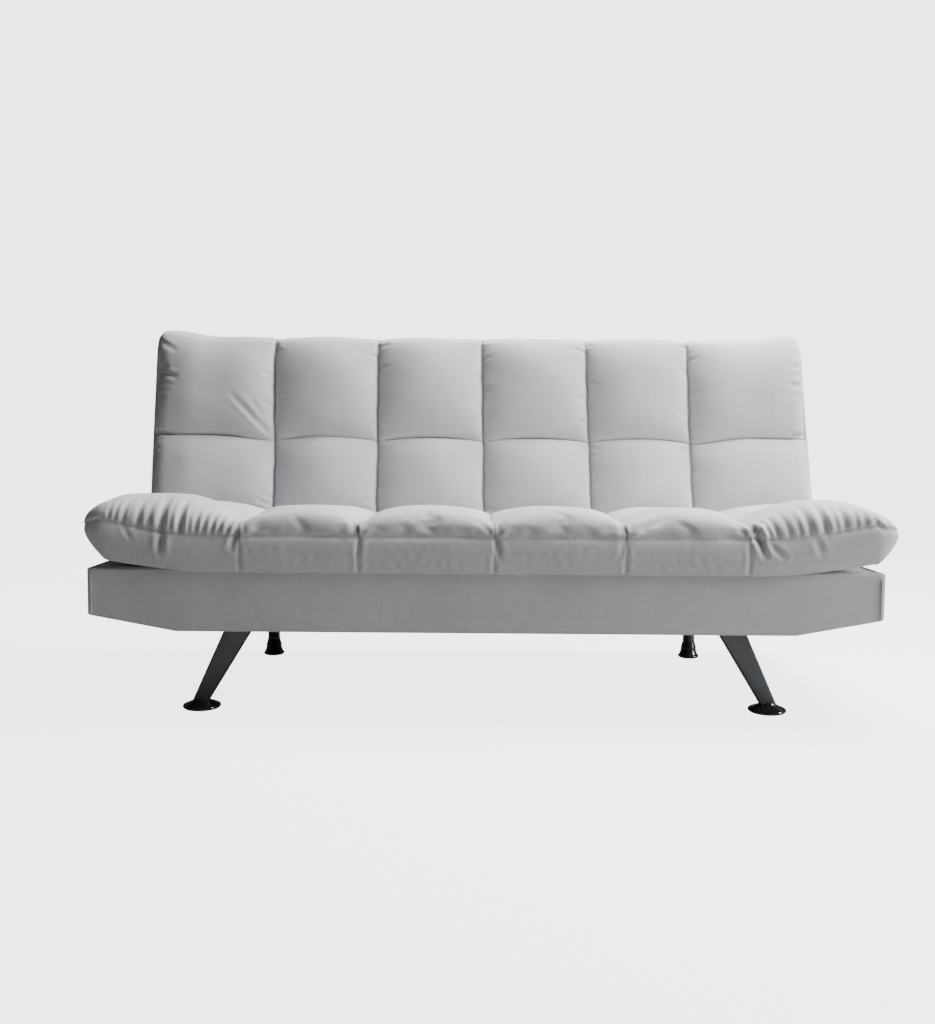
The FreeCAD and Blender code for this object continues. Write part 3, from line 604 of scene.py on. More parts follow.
def tube_mesh(name, grid):
    """A closed mesh from a grid of outlines: columns along X, rows round the outline."""
    columns, rows, _ = grid.shape
    faces = []
    for i in range(columns - 1):
        for j in range(rows):
            k = (j + 1) % rows
            faces.append((i * rows + j, (i + 1) * rows + j, (i + 1) * rows + k, i * rows + k))
    last = (columns - 1) * rows
    for j in range(rows // 2 - 1):
        a, b, c, d = j, j + 1, rows - 2 - j, rows - 1 - j
        faces.append((a, b, c, d))
        faces.append((last + d, last + c, last + b, last + a))
    mesh = bpy.data.meshes.new(name)
    mesh.from_pydata([tuple(p) for p in grid.reshape(-1, 3)], [], faces)
    mesh.update()
    piece = bpy.data.objects.new(name, mesh)
    bpy.context.scene.collection.objects.link(piece)
    return piece


def paint_crease_shade(piece, painted_crease_shade):
    """Keeps how deep in a seam, fold or crease each point lies, as painted shade that darkens the cloth's
    colour there.
    """
    layer = piece.data.attributes.new("painted_crease_shade", "FLOAT", "POINT")
    layer.data.foreach_set("value", np.clip(painted_crease_shade, 0, 1).ravel())


# Work on a finished mesh

def vertex_places(piece):
    places = np.zeros(len(piece.data.vertices) * 3)
    piece.data.vertices.foreach_get("co", places)
    return places.reshape(-1, 3)


def set_places(piece, places):
    piece.data.vertices.foreach_set("co", places.ravel())
    piece.data.update()


def shift_points(piece, shift):
    """Moves each point of a piece by a function that changes its place."""
    places = vertex_places(piece)
    for place in places:
        shift(place)
    set_places(piece, places)


def make_active(piece):
    deselect()
    piece.select_set(True)
    bpy.context.view_layer.objects.active = piece


def apply_modifier(piece, modifier):
    make_active(piece)
    bpy.ops.object.modifier_apply(modifier=modifier.name)
    piece.select_set(False)


def smooth_shade(piece, angle):
    make_active(piece)
    bpy.ops.object.shade_smooth_by_angle(angle=math.radians(angle))
    piece.select_set(False)


def subdivided(piece):
    modifier = piece.modifiers.new("soften", "SUBSURF")
    modifier.levels = 1
    modifier.render_levels = 1
    apply_modifier(piece, modifier)


def give_wall(piece, thickness):
    wall = piece.modifiers.new("wall", "SOLIDIFY")
    wall.thickness = thickness
    wall.offset = -1
    apply_modifier(piece, wall)


# Blowing up the sewn covers

# The covers' cloth; its negative shrink gives it 1.2% of spare cloth all over
COVER_CLOTH = {
    "quality": 5, "mass": 0.25, "tension_stiffness": 12, "compression_stiffness": 12, "shear_stiffness": 4,
    "bending_stiffness": 0.25, "tension_damping": 5, "compression_damping": 5, "shear_damping": 5,
    "air_damping": 3, "use_pressure": True, "uniform_pressure_force": 2.5, "vertex_group_mass": "held",
    "pin_stiffness": 1, "shrink_min": -0.012}
COVER_FRAMES = 18
COVER_CAP = 0.016
WEIGHT_STEPS = 40


def inflate(piece, held):
    """Blows up the cover, sewn down where held is 1, and keeps its moves under the cap."""
    start = vertex_places(piece)
    group = piece.vertex_groups.new(name="held")
    levels = np.round(np.clip(held.ravel(), 0, 1) * WEIGHT_STEPS).astype(int)
    for level in np.unique(levels):
        if level > 0:
            group.add([int(i) for i in np.nonzero(levels == level)[0]], level / WEIGHT_STEPS, "REPLACE")
    cloth = piece.modifiers.new("cloth", "CLOTH")
    for key, value in COVER_CLOTH.items():
        setattr(cloth.settings, key, value)
    cloth.settings.effector_weights.gravity = 0
    scene = bpy.context.scene
    scene.frame_start = 1
    scene.frame_end = COVER_FRAMES
    cloth.point_cache.frame_start = 1
    cloth.point_cache.frame_end = COVER_FRAMES
    for step in range(1, COVER_FRAMES + 1):
        scene.frame_set(step)
    apply_modifier(piece, cloth)
    scene.frame_set(1)
    moves = vertex_places(piece) - start
    length = np.linalg.norm(moves, axis=1, keepdims=True)
    moves *= np.tanh(length / COVER_CAP) * COVER_CAP / np.maximum(length, 1e-9)
    set_places(piece, start + moves)
    piece.vertex_groups.clear()


def held_cloth(free, hold, shares, start, end):
    """How firmly each point is held: the free rows let go between the seams and short of the ends."""
    inside = (1 - hold) * (1 - np.array([ease(share, start, end) for share in shares]))
    return 1 - 0.985 * free * inside[:, None]


# The seat

# Points in each stretch of its outline, from the rear lower edge round by the front
SEAT_COUNTS = (12, 3, 4, 10, 15, 26, 24, 6, 5)
SEAT_FRONT_EDGE = SEAT_COUNTS[0]
SEAT_WELT_ROW = sum(SEAT_COUNTS[:4])
SEAT_VALLEY_ROW = sum(SEAT_COUNTS[:6])
SEAT_SHOULDER_ROW = sum(SEAT_COUNTS[:7])
SEAT_REAR_ROW = sum(SEAT_COUNTS[:8])

# Heights above its underside, and how much higher each row is in a block's middle than at its seams
BOXING = 0.075
FRONT_CROWN = 0.090
FRONT_PUFF = 0.043
REAR_CROWN = 0.084
REAR_PUFF = 0.030
VALLEY_HEIGHT = 0.080
SHOULDER_HEIGHT = 0.094

# Where the valley runs, and how far the front edge hangs down before the base and stays clear of it
ROW_VALLEY = SEAT_FRONT + 0.265
FRONT_DROOP = 0.012
LIP_GAP = 0.0015

# How its ends rise: where along the sofa they start, over what run, and how far below and at the welt
END_KNEE = 0.620
END_RUN = 0.231
END_LIFT_UNDER = 0.020
END_LIFT_WELT = 0.036
LIFT_FADE = 0.058

# How much fuller its ends are than its middle, and how deep its seams and its welt are pressed in
LEFT_END_PUFF = 0.022
RIGHT_END_PUFF = 0.018
SEAT_SEAM_PRESS = 0.0024
WELT_PRESS = 0.0030
WELT_HALF = 0.0022

# Folds of the seat's front row: place along the sofa, lean, depth, half width and reach above the welt
SEAT_FOLDS = (
    (-0.829, 0.10, 0.0016, 0.0045, 0.050), (-0.815, 0.12, 0.0016, 0.0045, 0.055),
    (-0.799, 0.15, 0.0022, 0.006, 0.060), (-0.766, 0.10, 0.0026, 0.008, 0.070),
    (-0.742, 0.05, 0.0014, 0.006, 0.045), (-0.7135, 0.05, 0.0048, 0.010, 0.085),
    (-0.694, 0.05, 0.0016, 0.005, 0.050), (-0.672, 0.05, 0.0056, 0.009, 0.085),
    (-0.654, 0.02, 0.0022, 0.005, 0.055), (-0.639, 0.10, 0.0026, 0.0055, 0.060),
    (-0.622, 0.12, 0.0024, 0.006, 0.055), (-0.604, 0.15, 0.0030, 0.006, 0.055),
    (-0.589, 0.20, 0.0026, 0.0055, 0.050), (-0.571, 0.30, 0.0030, 0.006, 0.045),
    (0.588, -0.30, 0.0030, 0.006, 0.045), (0.603, -0.50, 0.0044, 0.008, 0.062),
    (0.624, -0.42, 0.0014, 0.005, 0.050), (0.641, -0.38, 0.0024, 0.0065, 0.075),
    (0.667, -0.34, 0.0018, 0.007, 0.080), (0.690, -0.30, 0.0012, 0.005, 0.055),
    (0.712, -0.28, 0.0022, 0.009, 0.085), (0.744, -0.22, 0.0036, 0.010, 0.090),
    (0.768, -0.20, 0.0011, 0.006, 0.050), (0.786, -0.16, 0.0018, 0.008, 0.070),
    (0.812, -0.14, 0.0012, 0.006, 0.060), (0.829, -0.12, 0.0015, 0.007, 0.060),
    (0.852, -0.10, 0.0010, 0.006, 0.050))

# Gathers beside each seam of the seat: distance from the seam and lean, and their depth, half width and reach
SEAM_GATHERS = ((-0.027, 0.45), (-0.012, 0.25), (0.014, -0.3), (0.029, -0.4))
GATHER_SIZE = (0.0022, 0.0040, 0.034)

# Creases: place along the sofa and height over the welt of both ends, depth and half width
SEAT_CREASES = (
    (0.574, 0.050, 0.610, -0.035, 0.0070, 0.008), (0.600, 0.045, 0.578, 0.006, 0.0060, 0.007),
    (0.612, -0.006, 0.652, -0.040, 0.0030, 0.007), (-0.7135, -0.002, -0.716, -0.050, 0.0040, 0.008),
    (-0.545, 0.030, -0.560, -0.030, 0.0035, 0.007), (0.300, -0.004, 0.291, -0.045, 0.0022, 0.005),
    (-0.280, -0.003, -0.283, -0.050, 0.0020, 0.005), (0.020, -0.004, 0.030, -0.050, 0.0028, 0.006),
    (-0.300, 0.045, -0.284, 0.006, 0.0040, 0.006), (0.035, 0.045, 0.019, 0.006, 0.0040, 0.006),
    (0.290, 0.045, 0.305, 0.006, 0.0045, 0.006), (0.322, 0.040, 0.308, 0.008, 0.0030, 0.005),
    (-0.525, 0.050, -0.541, 0.008, 0.0040, 0.006), (-0.800, 0.004, -0.780, -0.030, 0.0014, 0.006),
    (0.720, -0.004, 0.735, -0.045, 0.0016, 0.008), (0.850, 0.010, 0.875, -0.010, 0.0020, 0.006))


def seat_section(x):
    """Closed outline of the seat cushion at x; its ends rise off the base and are drawn in."""
    ax = abs(x)
    puff = block_puff(x, SEAT_SEAMS, SEAT_ENDS, *SEAT_BLOCK)
    share = end_share(x, SEAT_SEAMS, SEAT_ENDS)
    above = drawn_in(share, *(SEAT_RIGHT_CLOSE if x > 0 else SEAT_LEFT_CLOSE))
    below = drawn_in(share, *SEAT_UNDER_CLOSE)
    plan = drawn_in(share, *SEAT_PLAN_CLOSE)
    extra = (RIGHT_END_PUFF if x > 0 else LEFT_END_PUFF) * ease(share, 0.02, 0.42)
    lift = min(max(ax - END_KNEE, 0.0) / END_RUN, 1.0)
    under = END_LIFT_UNDER * lift ** 2.5
    welt = END_LIFT_WELT * lift ** 1.7
    droop = FRONT_DROOP * (1 - ease(ax, 0.60, 0.80))

    def at(y, height):
        if height < BOXING:
            lifted = under + (welt - under) * max(height, 0.0) / BOXING
        else:
            lifted = welt * max(1 - (height - BOXING) / LIFT_FADE, 0.0)
        return (y, SEAT_BOTTOM + height + lifted)

    front = SEAT_FRONT + 0.005
    lip = BASE_FRONT - LIP_GAP
    crown = FRONT_CROWN + FRONT_PUFF * puff + extra * puff
    second = REAR_CROWN + REAR_PUFF * puff + extra * puff / 3
    rear_low = at(SEAT_REAR - 0.002, 0)
    under_lip = at(lip + 0.004, 0)
    lip_edge = at(lip, -droop * 0.6)
    front_low = at(SEAT_FRONT + 0.009, 0.012 - droop * 0.6)
    welt_edge = at(front, BOXING)
    roll = at(SEAT_FRONT + 0.004 + 0.006 * (1 - puff), 0.097)
    front_top = at(front + 0.042, crown - 0.007)
    valley = at(ROW_VALLEY, VALLEY_HEIGHT + 0.006 * puff)
    shoulder = at(SEAT_REAR - 0.036, SHOULDER_HEIGHT)
    rear_top = at(SEAT_REAR, 0.055)
    n = SEAT_COUNTS
    points = line(rear_low, under_lip, n[0])
    points += line(under_lip, lip_edge, n[1])
    points += arc(lip_edge, at(lip - 0.007, -droop), front_low, n[2])
    points += arc(front_low, at(SEAT_FRONT, 0.052), welt_edge, n[3])
    points += arc(welt_edge, roll, front_top, n[4])
    points += arc(front_top, at(front + 0.110, crown), valley, n[5])
    points += arc(valley, at((ROW_VALLEY + SEAT_REAR) / 2, second), shoulder, n[6])
    points += arc(shoulder, at(SEAT_REAR - 0.012, 0.0829), rear_top, n[7])
    points += line(rear_top, rear_low, n[8])
    nose_z = SEAT_BOTTOM + BOXING + 0.012
    nose_front = front + 0.080
    nose_rear = SEAT_REAR - 0.050
    drawn = []
    for y, z in points:
        turn_y = min(max(y, nose_front), nose_rear)
        closing = above if z > nose_z else below
        drawn.append((turn_y + (y - turn_y) * plan, nose_z + (z - nose_z) * closing))
    return drawn


def make_seat():
    """The seat's sewn cover, with its pleated ends, blown up over its filling."""
    places = place_along(SEAT_SEAMS, SEAT_ENDS, 0.004, 0.010, 0.0050)
    shares = np.array([end_share(x, SEAT_SEAMS, SEAT_ENDS) for x in places])
    rows = sum(SEAT_COUNTS)
    grid = np.zeros((len(places), rows, 3))
    for i, x in enumerate(places):
        grid[i, :, 0] = x
        grid[i, :, 1:] = seat_section(x)
    grid = smooth_rows(grid, (0, SEAT_FRONT_EDGE, SEAT_WELT_ROW, SEAT_VALLEY_ROW, SEAT_REAR_ROW), 4)
    height = heights_from(grid, SEAT_WELT_ROW)
    along = grid[:, :, 0]
    hold = seam_hold(places, SEAT_SEAMS)
    top = row_band(rows, (SEAT_WELT_ROW, SEAT_SHOULDER_ROW + 4, 1))
    front = row_band(rows, (SEAT_FRONT_EDGE + 3, SEAT_WELT_ROW, 1))
    valley = row_band(rows, (SEAT_VALLEY_ROW, SEAT_VALLEY_ROW + 1, 1))
    welt = np.exp(-(height / WELT_HALF) ** 2)
    gathers = [(seam + off, lean_by, *GATHER_SIZE) for seam in SEAT_SEAMS for off, lean_by in SEAM_GATHERS]
    folds = fold_field(along, height, SEAT_FOLDS) + fold_field(along, height, gathers)
    creases = crease_field(along, height, SEAT_CREASES)
    press = folds + lumps(grid, 0.11, 0.003, 3.0) * top
    press -= SEAT_SEAM_PRESS * hold[:, None] * front
    press -= WELT_PRESS * welt
    press += creases
    # Painted shade: darkens the cloth in its folds and creases, along the welt by a share that wanders along
    # it, in the valley and on the seams
    welt_shade_share = 0.30 + 0.18 * np.sin(along * 23) * np.sin(along * 61 + 1)
    painted_crease_shade = np.maximum(np.clip(-folds / 0.005, 0, 1) * 0.5, np.clip(-creases / 0.004, 0, 1) * 0.6)
    painted_crease_shade = np.maximum(painted_crease_shade, np.maximum(welt * welt_shade_share, 0.7 * valley))
    painted_crease_shade = np.maximum(painted_crease_shade, hold[:, None] * np.maximum(0.28 * front, 0.8 * top))
    piece = tube_mesh("seat_cushion_cover", pressed(grid, press))
    free = row_band(rows, (SEAT_FRONT_EDGE + 5, SEAT_WELT_ROW - 1, 0.45),
                    (SEAT_WELT_ROW + 1, SEAT_VALLEY_ROW, 1),
                    (SEAT_VALLEY_ROW + 1, SEAT_SHOULDER_ROW + 3, 1))
    inflate(piece, held_cloth(free, hold, shares, 0.86, 0.97))
    paint_crease_shade(piece, painted_crease_shade)
    subdivided(piece)
    return dress_cushion(piece, "base", "seat_cushion", "seat_foam")


# The back, modelled straight up from the hinge as out and up

# Points in each stretch of its outline, from the rear of the heel round by the front
BACK_COUNTS = (6, 6, 42, 56, 8, 8, 14)
BACK_SEAM_ROW = sum(BACK_COUNTS[:3])
BACK_TOP_ROW = sum(BACK_COUNTS[:4])
BACK_PIPING_ROW = sum(BACK_COUNTS[:6])

# Height of the seam between its rows, depths in front of the hinge, and the ears and corners of its top
ROW_SEAM = 0.228
SEAM_DEPTH = 0.034
BACK_DEPTH = 0.040
BACK_PUFF = 0.035
TOP_DEPTH = 0.038
TOP_ROUND = 0.022
TOP_REAR_DROP = 0.011
LEFT_EAR = 0.017
RIGHT_EAR = 0.013
END_CORNER = 0.022
BACK_SEAM_PRESS = 0.003

# Room for the hinge at both ends, and for the rear panel
HINGE_ROOM = 0.8459
HINGE_ROOM_TOP = 0.060
HINGE_WALL = 0.84635
PANEL_RECESS = 0.007
PANEL_END = 0.838

# The back's outline at its ends, by height up it
END_HEIGHTS = (0.0, 0.066, 0.137, 0.18, 0.24, 0.30, 0.35, 0.385, 0.405, 0.43, 0.47, 0.53)
LEFT_END_MOVES = (0.0, 0.002, 0.0, -0.002, -0.004, -0.001, 0.001, 0.003, 0.008, 0.004, -0.010, -0.013)
RIGHT_END_MOVES = (0.0, 0.0, -0.004, -0.007, -0.007, -0.008, -0.010, -0.008, -0.006, -0.004, -0.003, -0.003)

# Creases: place along the sofa and height up the back of both ends, depth and half width
BACK_CREASES = (
    (-0.686, 0.342, -0.577, 0.232, 0.0030, 0.008), (-0.632, 0.330, -0.585, 0.250, 0.0012, 0.007),
    (-0.615, 0.055, -0.572, 0.040, 0.0030, 0.006), (-0.610, 0.075, -0.570, 0.058, 0.0024, 0.006),
    (-0.625, 0.032, -0.585, 0.024, 0.0024, 0.006), (0.290, 0.400, 0.318, 0.372, 0.0024, 0.005),
    (0.291, 0.210, 0.318, 0.196, 0.0024, 0.005), (-0.002, 0.375, 0.024, 0.352, 0.0020, 0.005),
    (-0.905, 0.405, -0.845, 0.392, 0.0050, 0.0065), (-0.905, 0.385, -0.860, 0.372, 0.0032, 0.006),
    (-0.905, 0.362, -0.862, 0.354, 0.0026, 0.006), (-0.905, 0.340, -0.872, 0.334, 0.0022, 0.006),
    (-0.905, 0.425, -0.872, 0.420, 0.0024, 0.006), (-0.905, 0.246, -0.850, 0.238, 0.0034, 0.006),
    (-0.905, 0.200, -0.875, 0.196, 0.0020, 0.006), (-0.895, 0.505, -0.850, 0.470, 0.0024, 0.007),
    (0.850, 0.432, 0.893, 0.444, 0.0042, 0.006), (0.858, 0.408, 0.893, 0.416, 0.0034, 0.006),
    (0.842, 0.380, 0.893, 0.389, 0.0044, 0.006), (0.862, 0.350, 0.893, 0.356, 0.0028, 0.006),
    (0.840, 0.246, 0.893, 0.252, 0.0044, 0.006), (0.862, 0.180, 0.893, 0.176, 0.0022, 0.006),
    (0.850, 0.500, 0.885, 0.512, 0.0022, 0.006))
SEAM_CREASE_HEIGHTS = (0.052, 0.104, 0.150, 0.196, 0.262, 0.306, 0.352, 0.410, 0.462, 0.500)
TOP_GATHERS = (-0.560, -0.548, -0.302, -0.280, -0.268, -0.012, 0.010,
               0.024, 0.270, 0.292, 0.300, 0.548, 0.576)


def back_creases():
    """The listed creases, short ones that run out of each seam, and gathers below the top edge."""
    creases = list(BACK_CREASES)
    for i, seam in enumerate(BACK_SEAMS):
        for k, height in enumerate(SEAM_CREASE_HEIGHTS):
            start = height + 0.013 * math.sin(i * 2.3 + k * 1.7)
            reach = 0.024 + 0.010 * math.sin(i * 1.1 + k * 2.9)
            way = -1 if (k + i) % 2 else 1
            rise = 0.35 * reach * (1 if ROW_SEAM > start else -1)
            creases.append((seam + way * 0.002, start, seam + way * reach, start - rise, 0.0024, 0.0055))
    for k, place in enumerate(TOP_GATHERS):
        creases.append((place, 0.527, place * 0.99 + 0.004, 0.492 - 0.006 * (k % 3), 0.0028, 0.0045))
    return creases


def back_section(x):
    """Closed outline of the back at x: its heel round the hinge, two rows of blocks, top and rear."""
    puff = block_puff(x, BACK_SEAMS, BACK_ENDS, *BACK_BLOCK)
    share = end_share(x, BACK_SEAMS, BACK_ENDS)
    if share > 0.42:
        puff = 1 - 0.35 * ease(share, 0.65, 1.0)
    shrink = drawn_in(share, *BACK_CLOSE)
    reach = BACK_ENDS[1] if x > 0 else -BACK_ENDS[0]
    ear = (RIGHT_EAR if x > 0 else LEFT_EAR) * ease(abs(x), reach - 0.16, reach - 0.03)
    corner = END_CORNER * ease(share, 0.93, 1.0)
    top = BACK_LENGTH - 0.005 * (1 - puff) + ear - corner
    seam = ROW_SEAM - 0.006 + 0.012 * puff
    if share > 0:
        seam = ROW_SEAM - 0.006 + 0.016 * ease(share, 0.0, 0.5)
    half = HEEL * math.sqrt(0.5)
    depth = -BACK_DEPTH - BACK_PUFF * puff
    row_seam = (-SEAM_DEPTH - 0.005 * puff, seam)
    top_front = (-TOP_DEPTH - 0.006 * puff, top - TOP_ROUND)
    top_rear = (HEEL, top - TOP_REAR_DROP)
    n = BACK_COUNTS
    points = arc((HEEL, 0), (half, -half), (0, -HEEL), n[0])
    points += arc((0, -HEEL), (-half, -half), (-HEEL, 0), n[1])
    points += swelled((-HEEL, 0), row_seam, depth + (HEEL - row_seam[0]) / 2, 1.0, 0.50, n[2])
    points += swelled(row_seam, top_front, depth - (top_front[0] + row_seam[0]) / 2, 0.50, 0.72, n[3])
    points += arc(top_front, (0, top), top_rear, n[4] + n[5])
    points += line(top_rear, (HEEL, 0), n[6])
    middle = BACK_LENGTH / 2
    shorten = 1 - (1 - shrink) * 0.04
    return np.array([(out * shrink, middle + (up - middle) * shorten) for out, up in points])


def lean(out, up):
    """Turns the back's out and up to the resting slope, as Y and Z."""
    c, s = math.cos(RECLINE), math.sin(RECLINE)
    return np.stack([HINGE_Y + out * c + up * s, HINGE_Z - out * s + up * c], axis=-1)


def upright(places):
    """The out and up of points in the resting back."""
    y, z = places[..., 1] - HINGE_Y, places[..., 2] - HINGE_Z
    c, s = math.cos(RECLINE), math.sin(RECLINE)
    return y * c - z * s, y * s + z * c


def shift_back_seams(places, up):
    """Places along the sofa by column and row, as the seams and the ends wander up the back."""
    share = np.clip((up - 0.10) / 0.30, 0, 1)
    left, right = BACK_ENDS
    stops = (left,) + BACK_SEAMS + (right,)
    upper = np.interp(places, stops, (left + 0.004,) + BACK_SEAMS_UPPER + (right - 0.006,))
    lower = np.interp(places, stops, (left + 0.002,) + BACK_SEAMS_LOWER + (right + 0.002,))
    shifted = lower[:, None] * (1 - share) + upper[:, None] * share
    near_end = np.array([ease(end_share(x, BACK_SEAMS, BACK_ENDS), 0.72, 1.0) for x in places])
    moves = np.where(places[:, None] < 0, np.interp(up, END_HEIGHTS, LEFT_END_MOVES),
                     np.interp(up, END_HEIGHTS, RIGHT_END_MOVES))
    shifted += moves * near_end[:, None]
    return shifted + 0.0014 * np.sin(up * 57 + places[:, None] * 9) * np.sin(up * 23 + places[:, None] * 31)


def make_back():
    """The back's sewn cover, with room for the hinge at both ends and for the rear panel."""
    places = place_along(BACK_SEAMS, BACK_ENDS, 0.0045, 0.011, 0.0075)
    shares = np.array([end_share(x, BACK_SEAMS, BACK_ENDS) for x in places])
    rows = sum(BACK_COUNTS)
    grid = np.zeros((len(places), rows, 3))
    for i, x in enumerate(places):
        grid[i, :, 1:] = lean(*back_section(x).T)
    grid = smooth_rows(grid, (0, BACK_SEAM_ROW, BACK_PIPING_ROW), 4)
    out, up = upright(grid)
    beside = np.abs(places) > HINGE_ROOM
    first_beside = beside & ~(np.roll(beside, 1) & np.roll(beside, -1))
    walls = first_beside[:, None] & (up < HINGE_ROOM_TOP)
    up = np.where(beside[:, None], np.maximum(up, HINGE_ROOM_TOP), up)
    grid[:, :, 0] = shift_back_seams(places, up)
    grid[:, :, 0] = np.where(walls, np.sign(places)[:, None] * HINGE_WALL, grid[:, :, 0])
    rear = row_band(rows, (BACK_PIPING_ROW + 1, rows, 1))
    recess = PANEL_RECESS * np.clip((PANEL_END - np.abs(places)) / 0.010, 0, 1)
    grid[:, :, 1:] = lean(out - recess[:, None] * rear * (up > HEEL), up)
    hold = seam_hold(places, BACK_SEAMS)
    front = row_band(rows, (BACK_COUNTS[0] + BACK_COUNTS[1], BACK_TOP_ROW + BACK_COUNTS[4], 1))
    row_seam = row_band(rows, (BACK_SEAM_ROW, BACK_SEAM_ROW + 1, 1))
    creases = crease_field(places[:, None], up, back_creases()) * front
    press = lumps(grid, 0.13, 0.0035, 9.0) * front + creases
    press -= BACK_SEAM_PRESS * row_seam
    press -= BACK_SEAM_PRESS * hold[:, None] * front
    # Painted shade: darkens the cloth on its seams, along the row seam and in its creases
    seams = 0.75 * np.maximum(hold[:, None] * front, row_seam)
    painted_crease_shade = np.maximum(np.clip(-creases / 0.004, 0, 1) * 0.5, seams)
    piece = tube_mesh("back_cushion_cover", pressed(grid, press))
    free = row_band(rows, (8, BACK_SEAM_ROW, 1), (BACK_SEAM_ROW + 1, BACK_PIPING_ROW - 1, 1))
    inflate(piece, held_cloth(free, hold, shares, 0.90, 0.99))
    paint_crease_shade(piece, painted_crease_shade)
    subdivided(piece)
    places = vertex_places(piece)
    low = upright(places)[1] < HINGE_ROOM_TOP - 0.002
    places[low, 0] = np.clip(places[low, 0], -HINGE_WALL, HINGE_WALL)
    set_places(piece, places)
    return dress_cushion(piece, "backrest", "back_cushion", "back_foam")


def dress_cushion(piece, body, *replaced):
    smooth_shade(piece, 60)
    piece.data.materials.append(materials["cushion_fabric"])
    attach(piece, body)
    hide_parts(*replaced)
    return piece


# Modelling steps

def start_cube(name, low, high):
    deselect()
    middle = [(a + b) / 2 for a, b in zip(low, high)]
    bpy.ops.mesh.primitive_cube_add(size=1.0, location=middle)
    piece = bpy.context.object
    piece.name = name
    piece.data.name = name
    piece.scale = [b - a for a, b in zip(low, high)]
    bpy.ops.object.transform_apply(location=True, rotation=True, scale=True)
    return piece


def edit(piece, mode, action):
    """Opens a piece in edit mode, with everything or nothing selected."""
    make_active(piece)
    bpy.ops.object.mode_set(mode="EDIT")
    bpy.ops.mesh.select_mode(type=mode)
    bpy.ops.mesh.select_all(action=action)


def pick(piece, test, mode="FACE"):
    """Selects faces, edges or vertices by a test of their middle and direction, and opens edit mode."""
    edit(piece, mode, "DESELECT")
    bpy.ops.object.mode_set(mode="OBJECT")
    mesh = piece.data
    if mode == "FACE":
        for face in mesh.polygons:
            face.select = bool(test(face.center, face.normal))
    elif mode == "EDGE":
        for edge in mesh.edges:
            a, b = (mesh.vertices[v].co for v in edge.vertices)
            edge.select = bool(test((a + b) / 2, (b - a).normalized()))
    else:
        for vertex in mesh.vertices:
            vertex.select = bool(test(vertex.co, None))
    bpy.ops.object.mode_set(mode="EDIT")


def close(piece):
    bpy.ops.object.mode_set(mode="OBJECT")
    piece.select_set(False)


def bevel_edges(piece, test, size, steps):
    pick(piece, test, "EDGE")
    bpy.ops.mesh.bevel(offset=size, segments=steps, affect="EDGES")
    close(piece)


def subdivide_faces(piece, test, cuts):
    pick(piece, test)
    bpy.ops.mesh.subdivide(number_cuts=cuts)
    close(piece)


def face_out(piece):
    edit(piece, "FACE", "SELECT")
    bpy.ops.mesh.normals_make_consistent(inside=False)
    close(piece)


def mirror(piece):
    places = vertex_places(piece)
    places[:, 0] *= -1
    set_places(piece, places)
    edit(piece, "FACE", "SELECT")
    bpy.ops.mesh.flip_normals()
    close(piece)


def join(name, pieces):
    deselect()
    for piece in pieces:
        piece.select_set(True)
    bpy.context.view_layer.objects.active = pieces[0]
    bpy.ops.object.join()
    whole = bpy.context.object
    whole.name = name
    whole.data.name = name
    whole.select_set(False)
    return whole


def finish_piece(piece, material, body, replaced=(), angle=40):
    smooth_shade(piece, angle)
    piece.data.materials.clear()
    piece.data.materials.append(materials[material])
    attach(piece, body)
    if replaced:
        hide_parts(*replaced)
    return piece


def tube_along(name, points, radius, closed=False):
    """A thin round tube through points, as a mesh."""
    curve = bpy.data.curves.new(name, "CURVE")
    curve.dimensions = "3D"
    spline = curve.splines.new("POLY")
    spline.points.add(len(points) - 1)
    for target, point in zip(spline.points, points):
        target.co = (*point, 1)
    spline.use_cyclic_u = closed
    curve.bevel_depth = radius
    curve.bevel_resolution = 2
    curve.use_fill_caps = not closed
    thing = bpy.data.objects.new(name, curve)
    bpy.context.scene.collection.objects.link(thing)
    make_active(thing)
    bpy.ops.object.convert(target="MESH")
    piece = bpy.context.object
    piece.name = name
    return piece


def rounded(points, radius, count=5):
    """Rounds the inner corners of an outline of radius and height."""
    out = [points[0]]
    for a, b, c in zip(points, points[1:], points[2:]):
        a, b, c = Vector(a), Vector(b), Vector(c)
        reach = min(radius, (a - b).length * 0.45, (c - b).length * 0.45)
        start = b + (a - b).normalized() * reach
        end = b + (c - b).normalized() * reach
        for i in range(count + 1):
            t = i / count
            out.append(tuple(start * (1 - t) ** 2 + b * 2 * t * (1 - t) + end * t ** 2))
    out.append(points[-1])
    return out


def lathe(name, profile, x, y, steps):
    """A turned piece from its outline, a list of radius and height, spun about an upright line."""
    deselect()
    bpy.ops.mesh.primitive_plane_add(size=0.01, location=(0, 0, 0))
    piece = bpy.context.object
    piece.name = name
    bpy.ops.object.mode_set(mode="EDIT")
    bpy.ops.mesh.select_all(action="SELECT")
    bpy.ops.mesh.delete(type="VERT")
    bpy.ops.object.mode_set(mode="OBJECT")
    edges = [(i, i + 1) for i in range(len(profile) - 1)]
    piece.data.from_pydata([(r, 0, z) for r, z in profile], edges, [])
    bpy.ops.object.mode_set(mode="EDIT")
    bpy.ops.mesh.select_all(action="SELECT")
    bpy.ops.mesh.spin(steps=steps, angle=2 * math.pi, center=(0, 0, 0), axis=(0, 0, 1))
    bpy.ops.mesh.select_all(action="SELECT")
    bpy.ops.mesh.remove_doubles(threshold=0.00005)
    bpy.ops.mesh.normals_make_consistent(inside=False)
    bpy.ops.transform.translate(value=(x, y, 0))
    bpy.ops.object.mode_set(mode="OBJECT")
    return piece


# The base

BASE_END = BASE_HALF + 0.006
NEAR = 0.001
BASE_CORNER = 0.012
BASE_TOP_EDGE = 0.006
BASE_LOW_EDGE = 0.005
TOP_TURN_IN = 0.0108
CLOTH_WALL = 0.0016
SOFT_EDGE = 0.03
SEAM_INSET = 0.011
SEAM_RADIUS = 0.0009
DECK_EDGE = 0.0092
DECK_RIM = 0.012
UNDERSIDE_RIM = 0.016


